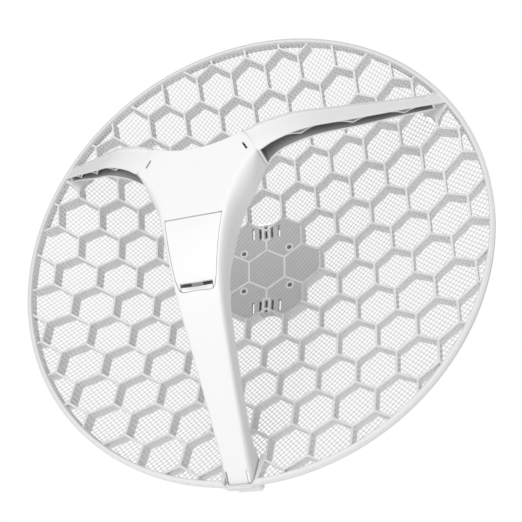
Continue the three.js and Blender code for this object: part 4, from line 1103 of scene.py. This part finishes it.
def door_barrel():
    """The barrel that the door turns on, with a stub at each end."""
    y, z = HEAD_FRONT_Y + HINGE_RADIUS, DOOR_TOP_Z - HINGE_RADIUS
    half = DOOR_TOP_HALF - 0.2
    return together(bar_along_x(HINGE_RADIUS - 0.04, half - 0.3, y, z),
                    bar_along_x(STUB_RADIUS, half + 1.5, y, z, 16))


def thumb_bar():
    """The thumb bar: lines along X, dipped in the middle to a groove for the finger.

    Each line lies at a share of the way from the lower to the upper edge and at a depth behind
    the front surface. The depth fades out towards the ends, where the edges are rounded.
    """
    half = LATCH_HALF - THUMB_GAP
    x = np.concatenate([[-half, -half + 0.1, -half + THUMB_EDGE],
                        np.linspace(-half + 1, half - 1, 25),
                        [half - THUMB_EDGE, half - 0.1, half]])
    from_end = np.maximum(THUMB_EDGE - np.minimum(x + half, half - x), 0)
    edge = THUMB_EDGE - np.sqrt(np.maximum(THUMB_EDGE ** 2 - from_end ** 2, 0))
    middle = 1 - smoothstep(6.5, 10.5, np.abs(x))
    corner = np.maximum(np.abs(x) - THUMB_CORNER_X, 0)
    low = DOOR_BOTTOM_Z + 0.25 + door_rise(np.abs(x))
    low = low + DOOR_CORNER - np.sqrt(np.maximum(DOOR_CORNER ** 2 - corner ** 2, 0))
    lines = []
    for share, depth, fades in ((0.0, 0.5, False), (0.05, 0.1, False), (0.14, 0.0, False),
                                (0.3, 0.0, True), (0.5, 0.8, True), (0.66, 1.5, True),
                                (0.82, 0.8, True), (0.95, 0.1, True), (1.0, 0.35, False)):
        z = low + (THUMB_TOP_Z - low) * share
        dip = depth * middle if fades else depth
        lines.append(np.stack([x, scooped(x, z) + np.maximum(dip, edge), z], 1))
    for share in (1.0, 0.0):
        z = low + (THUMB_TOP_Z - low) * share
        lines.append(np.stack([x, scooped(x, z) + THUMB_DEPTH, z], 1))
    return swept(lines)


# ---- Side arms -----------------------------------------------------------------------------------

def arm_across(polar, edge):
    """The place across the arm where a long edge of it is polar millimetres from the axis."""
    x = np.asarray(polar, float)
    for _ in range(3):
        across = spline(*edge, x)
        x = np.sqrt(np.maximum(polar ** 2 - across ** 2, 1))
    return across


def arm_channel():
    """A side arm as a section, open below, carried from the seam to the channel's end.

    The section runs along the front plate, round its upper edge, back along the upper wall and
    down the rear plate, then returns inside. Its front follows the shared front line.
    """
    w = SIDE_ARM_WALL
    polar = np.concatenate([np.linspace(SEAM_RADIUS + GAP, 66, 14),
                            np.linspace(70, CHANNEL_END + w, CHANNEL_STATIONS - 14)])
    low, low_front, high = (arm_across(polar, edge)
                            for edge in (LOWER_EDGE, LOWER_FRONT_EDGE, UPPER_EDGE))
    front, rear = front_line(polar), spline(*REAR_LINE, polar)
    low_in, low_back = rounded_steps(FRONT_EDGE, 3)
    top_back, top_in = rounded_steps(TOP_EDGE, 3)
    rear_in, rear_back = rounded_steps(REAR_EDGE, 3)
    lines = [(low_front + inward, front + back) for inward, back in zip(low_in, low_back)]
    lines += [(high - inward, front + back) for inward, back in zip(top_in[::-1], top_back[::-1])]
    lines += [(high - inward, rear - back) for inward, back in zip(rear_in, rear_back)]
    lines += [(low + 0.25, rear), (low, rear - 0.25), (low, rear - w + 0.25),
              (low + 0.25, rear - w), (high - w - 1, rear - w), (high - w, rear - w - 1),
              (high - w, front + w + 1.4), (high - w - 1.4, front + w),
              (low_front + 0.3, front + w)]
    channel = swept([np.stack([np.sqrt(polar ** 2 - across ** 2), y, across], 1)
                     for across, y in lines])
    walls = []
    for near in (SEAM_RADIUS + GAP, CHANNEL_END):
        sheets = []
        for value in (near + 0.02, near + w - 0.02):
            low, high = (float(arm_across(value, edge)) for edge in (LOWER_FRONT_EDGE, UPPER_EDGE))
            across = np.linspace(low + 0.35, high - 0.5, 8)
            x = np.sqrt(value ** 2 - across ** 2)
            sheets.append(np.array([np.stack([x, np.full(8, y), across], 1) for y in (
                float(front_line(value)) + 0.6, float(spline(*REAR_LINE, value)) - 0.4)]))
        walls.append(between(*sheets))
    return [channel] + walls


def arm_tip():
    """The front plate past the channel's end, with rounded corners and a rounded end."""
    turn = np.linspace(0, math.pi / 2, 8)
    straight = np.linspace(CHANNEL_END + SIDE_ARM_WALL - 0.06, TIP_RADIUS - TIP_CORNER, 6)[:-1]
    polar = np.concatenate([straight, TIP_RADIUS - TIP_CORNER + TIP_CORNER * np.sin(turn)])
    falls = np.concatenate([np.zeros(5), 1 - np.cos(turn)])
    inward, behind = rounded_steps(FRONT_EDGE, EDGE_STEPS)
    sheets = []
    for value, fall in zip(polar, falls):
        low, high = (float(arm_across(value, edge)) for edge in (LOWER_FRONT_EDGE, UPPER_EDGE))
        low, high = low + TIP_CORNER * fall, high - TIP_CORNER * fall
        across = np.concatenate([low + inward,
                                 np.linspace(low + FRONT_EDGE, high - FRONT_EDGE, 6)[1:-1],
                                 (high - inward)[::-1]])
        back = np.concatenate([behind, np.zeros(4), behind[::-1]])
        y = float(front_line(value)) + back + TIP_DROP * fall
        sheets.append(np.stack([np.sqrt(value ** 2 - across ** 2), y, across], 1))
    near = np.array(sheets)
    far = near.copy()
    far[:, :, 1] = np.maximum(front_line(polar)[:, None] + SIDE_ARM_WALL, near[:, :, 1] + 0.05)
    return between(near, far)


def gusset(radius):
    """Two thin plates in a V, from the front plate to a point behind it, each bowed a little."""
    apex = np.array([radius, float(front_line(radius)) + GUSSET_DEPTH])
    pieces = []
    for side in (-1, 1):
        reach = radius + side * GUSSET_REACH
        far = np.array([reach, float(front_line(reach)) + 1.6])
        along = np.linspace(0, 1, 9)
        line = apex + (far - apex) * along[:, None]
        line[:, 1] -= 0.9 * np.sin(along * math.pi)
        normal = np.array([-(far - apex)[1], (far - apex)[0]])
        normal = normal / np.linalg.norm(normal) * GUSSET_HALF
        sheets = []
        for shift in (-1, 1):
            polar, y = (line + normal * shift).T
            edges = spline(*LOWER_FRONT_EDGE, polar) + 0.6, spline(*UPPER_EDGE, polar) - 2.5
            sheets.append(np.stack([np.stack([np.sqrt(polar ** 2 - across ** 2), y, across], 1)
                                    for across in edges]))
        pieces.append(between(*sheets))
    return pieces


def side_arm():
    """Everything of the right-hand arm: its channel, tip, gussets and snap tongue."""
    parts = arm_channel() + [arm_tip()]
    for radius in GUSSET_RADII:
        parts += gusset(radius)
    y0 = float(front_line(SEAM_RADIUS)) + WALL + GAP
    parts.append(box_solid((43.4, y0, -5.2),
                           (SEAM_RADIUS + SIDE_ARM_WALL + 1, y0 + SIDE_ARM_WALL, 1.2)))
    return together(*[(on_arm(points), faces) for points, faces in parts])


# ---- Stage ---------------------------------------------------------------------------------------

CAMERA_PLACE = (0.2110, -0.6304, -0.3170)
CAMERA_DIRECTION = (-0.2966, 0.8440, 0.4469)
LAMP_PLACE = (0.0, -1.5, 0.12)
LAMP_TARGET = (0, -0.06, 0)
LAMP_SIZE = 1.4
FLOOR_HALF = 6
FLOOR_Z = -0.95
WHITE = (1, 1, 1, 1)


def facing(direction):
    """The turn that points a camera or a lamp along a direction, with Z kept upright."""
    return Vector(direction).to_track_quat("-Z", "Y").to_euler()


def set_camera(scene):
    data = bpy.data.cameras.new("Camera")
    data.lens = 58.16
    data.sensor_width = 36
    data.clip_start = 0.01
    camera = bpy.data.objects.new("Camera", data)
    camera.location = CAMERA_PLACE
    camera.rotation_euler = facing(CAMERA_DIRECTION)
    scene.collection.objects.link(camera)
    bpy.context.scene.camera = camera
    scene.view_settings.view_transform = "Standard"


def set_surroundings(scene):
    """Even light from all sides, which the camera sees as plain white."""
    world = bpy.data.worlds.new("Studio")
    world.use_nodes = True
    scene.world = world
    tree = world.node_tree
    tree.nodes.clear()
    direct, through = (add_node(tree, "ShaderNodeLightPath", output=ray)
                       for ray in ("Is Camera Ray", "Is Transmission Ray"))
    seen = add_node(tree, "ShaderNodeMath", {0: direct, 1: through}, operation="MAXIMUM")
    around, white = (add_node(tree, "ShaderNodeBackground", {"Color": WHITE, "Strength": strength})
                     for strength in (finish().ambient, 1.0))
    mixed = add_node(tree, "ShaderNodeMixShader", {"Fac": seen, 1: around, 2: white})
    add_node(tree, "ShaderNodeOutputWorld", {"Surface": mixed})


def set_lamp(scene):
    """One large soft lamp in front."""
    data = bpy.data.lights.new("Key", "AREA")
    data.shape = "SQUARE"
    data.size = LAMP_SIZE
    data.energy = finish().key_light
    lamp = bpy.data.objects.new("Key", data)
    lamp.location = LAMP_PLACE
    lamp.rotation_euler = facing(Vector(LAMP_TARGET) - lamp.location)
    lamp.visible_camera = False
    scene.collection.objects.link(lamp)


def paper(tree):
    """Paper's faint fibre keeps the floor from being a flat tone under the shadow."""
    where = add_node(tree, "ShaderNodeTexCoord", output="Object")
    fibre = add_node(tree, "ShaderNodeTexNoise", {"Vector": where, "Scale": 1000 / 3, "Detail": 2})
    return {"Base Color": add_node(tree, "ShaderNodeMix", {
                0: fibre, 6: linear("F4F4F4"), 7: linear("F8F8F8")}, output=2, data_type="RGBA"),
            "Roughness": 0.9, "Emission Color": WHITE, "Emission Strength": finish().floor_glow}


def set_floor(scene):
    """A low floor that glows a little, as one lit from overhead gives light back."""
    mesh = bpy.data.meshes.new("Floor")
    corners = [(x * FLOOR_HALF, y * FLOOR_HALF, FLOOR_Z)
               for x, y in ((-1, -1), (1, -1), (1, 1), (-1, 1))]
    mesh.from_pydata(corners, [], [(0, 1, 2, 3)])
    mesh.materials.append(new_material("Paper backdrop", paper))
    floor = bpy.data.objects.new("Floor", mesh)
    scene.collection.objects.link(floor)


# ---- Operators and panel -------------------------------------------------------------------------

class StageOperator(bpy.types.Operator):
    """Set up the camera, the light and the floor"""
    bl_idname = "antenna.stage"
    bl_label = "Stage"

    def execute(self, context):
        for step in (set_camera, set_surroundings, set_lamp, set_floor):
            step(context.scene)
        return {"FINISHED"}


class DishOperator(bpy.types.Operator):
    """Build the ribs, the screen, the rim, the centre panel and the mounting pad"""
    bl_idname = "antenna.dish"
    bl_label = "Dish"

    def execute(self, context):
        def add(name, mesh, material="dish"):
            return add_piece(name, mesh, material)

        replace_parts(add("dish_ribs", ribs()), "reflector")
        add("screen_bars_rising_right", screen_bars(math.radians(45), 0.0), "screen")
        add("screen_bars_rising_left", screen_bars(math.radians(-45), 0.06), "screen")
        add("dish_rim", together(rim(), rim_boss(), cradle()))
        seat, recess = arm_seat()
        cut(add("arm_seat_right", seat), [recess])
        cut(add("arm_seat_left", mirrored(seat)), [mirrored(recess)])
        slab, outline, holes = centre_panel()
        plate = add("centre_panel", slab, "panel")
        cut(plate, [outline], "INTERSECT")
        cut(plate, holes)
        add("panel_ridges", panel_ridges())
        # The trays take the panel's darkened finish, painted shade behind the slots.
        add("slot_trays", slot_trays(), "panel")
        cut(add("mounting_pad", mounting_pad()), bolt_holes(60))
        return {"FINISHED"}


class ShellOperator(bpy.types.Operator):
    """Build the head and the bottom arm"""
    bl_idname = "antenna.shell"
    bl_label = "Head and bottom arm"

    def execute(self, context):
        tray = between(shell_grid(0), shell_grid(WALL))
        shell = add_piece("head_and_bottom_arm", tray, "shell")
        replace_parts(shell, "front_shell")
        cut(shell, shell_cutters())
        return {"FINISHED"}


class ArmsOperator(bpy.types.Operator):
    """Build the two side arms"""
    bl_idname = "antenna.arms"
    bl_label = "Side arms"

    def execute(self, context):
        right = side_arm()
        for name, node, mesh in (("side_arm_right", "right_arm", right),
                                 ("side_arm_left", "left_arm", mirrored(right))):
            arm = add_piece(name, mesh, "shell")
            # The channel's inner faces are rougher and take the plastic darkened to 0.36, painted
            # shade for the hollow under the arm.
            arm.data.materials.append(materials()["channel"])
            index = np.zeros(len(arm.data.polygons), dtype=np.int32)
            index[CHANNEL_INNER_FACES] = 1
            arm.data.polygons.foreach_set("material_index", index)
            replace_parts(arm, node)
        return {"FINISHED"}


class DoorOperator(bpy.types.Operator):
    """Build the port door with its barrel, and the latch"""
    bl_idname = "antenna.door"
    bl_label = "Door and latch"

    def execute(self, context):
        slab = front_slab(DOOR_TOP_HALF + 2, DOOR_BOTTOM_Z - 2, DOOR_TOP_Z + 2, DOOR_SETBACK,
                          DOOR_THICKNESS)
        door = add_piece("door_panel", slab, "shell", "door")
        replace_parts(door, "port_door")
        cut(door, [prism(opening_outline(-DOOR_INSET), -175, -120)], "INTERSECT")
        cut(door, [box_solid((-LATCH_HALF, -170, -100), (LATCH_HALF, -120, LATCH_TOP_Z)),
                   box_solid((-40, -170, DOOR_TOP_Z - HINGE_RADIUS), (40, -120, DOOR_TOP_Z + 5))])
        add_piece("door_barrel", door_barrel(), "shell", "door")
        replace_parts(add_piece("thumb_bar", thumb_bar(), "shell", "latch"), "door_latch")
        # The stem's finish is the darkened plastic, painted shade in the slot.
        add_piece("thumb_bar_stem", front_slab(4.2, -80.2, -68, 2.1, 1.4), "stem", "latch")
        return {"FINISHED"}


FINISH_OF_NODE = {
    "rear_cover": "shell_inside", "main_board": "board", "ethernet_jack": "steel",
    "cpu_shield": "steel", "radio_shield": "steel", "lan_transformer": "nylon",
    "power_inductor": "nylon", "reset_switch": "nylon", "reset_button": "nylon",
    "feed_ground_plate": "aluminium", "driven_patch": "brass", "parasitic_patch": "brass",
    "feed_pin": "brass", "patch_post": "nylon", "board_screw": "zinc", "cover_screw": "zinc",
}


class InnerOperator(bpy.types.Operator):
    """Give the parts inside the head, whose shapes stay, their finishes"""
    bl_idname = "antenna.inner"
    bl_label = "Inner parts"

    def execute(self, context):
        for name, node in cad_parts.items():
            for start, finish_name in FINISH_OF_NODE.items():
                if name.startswith(start):
                    node.data.materials.clear()
                    node.data.materials.append(materials()[finish_name])
        return {"FINISHED"}


OPERATORS = (StageOperator, DishOperator, ShellOperator, ArmsOperator, DoorOperator, InnerOperator)


class AntennaPanel(bpy.types.Panel):
    """Lists the steps and the sizes"""
    bl_idname = "VIEW3D_PT_antenna"
    bl_label = "Antenna"
    bl_space_type = "VIEW_3D"
    bl_region_type = "UI"
    bl_category = "Antenna"

    def draw(self, context):
        for operator in OPERATORS:
            self.layout.operator(operator.bl_idname)
        for group in (context.scene.antenna_sizes, context.scene.antenna_finish):
            for name in group.__annotations__:
                self.layout.prop(group, name)


CLASSES = (AntennaSizes, AntennaFinish) + OPERATORS + (AntennaPanel,)


def register():
    for cls in CLASSES:
        bpy.utils.register_class(cls)
    bpy.types.Scene.antenna_sizes = PointerProperty(type=AntennaSizes)
    bpy.types.Scene.antenna_finish = PointerProperty(type=AntennaFinish)


def unregister():
    del bpy.types.Scene.antenna_finish
    del bpy.types.Scene.antenna_sizes
    for cls in reversed(CLASSES):
        bpy.utils.unregister_class(cls)


def main():
    register()
    bpy.ops.antenna.stage()
    bpy.ops.antenna.dish()
    bpy.ops.antenna.shell()
    bpy.ops.antenna.arms()
    bpy.ops.antenna.door()
    bpy.ops.antenna.inner()


if __name__ == "__main__":
    main()
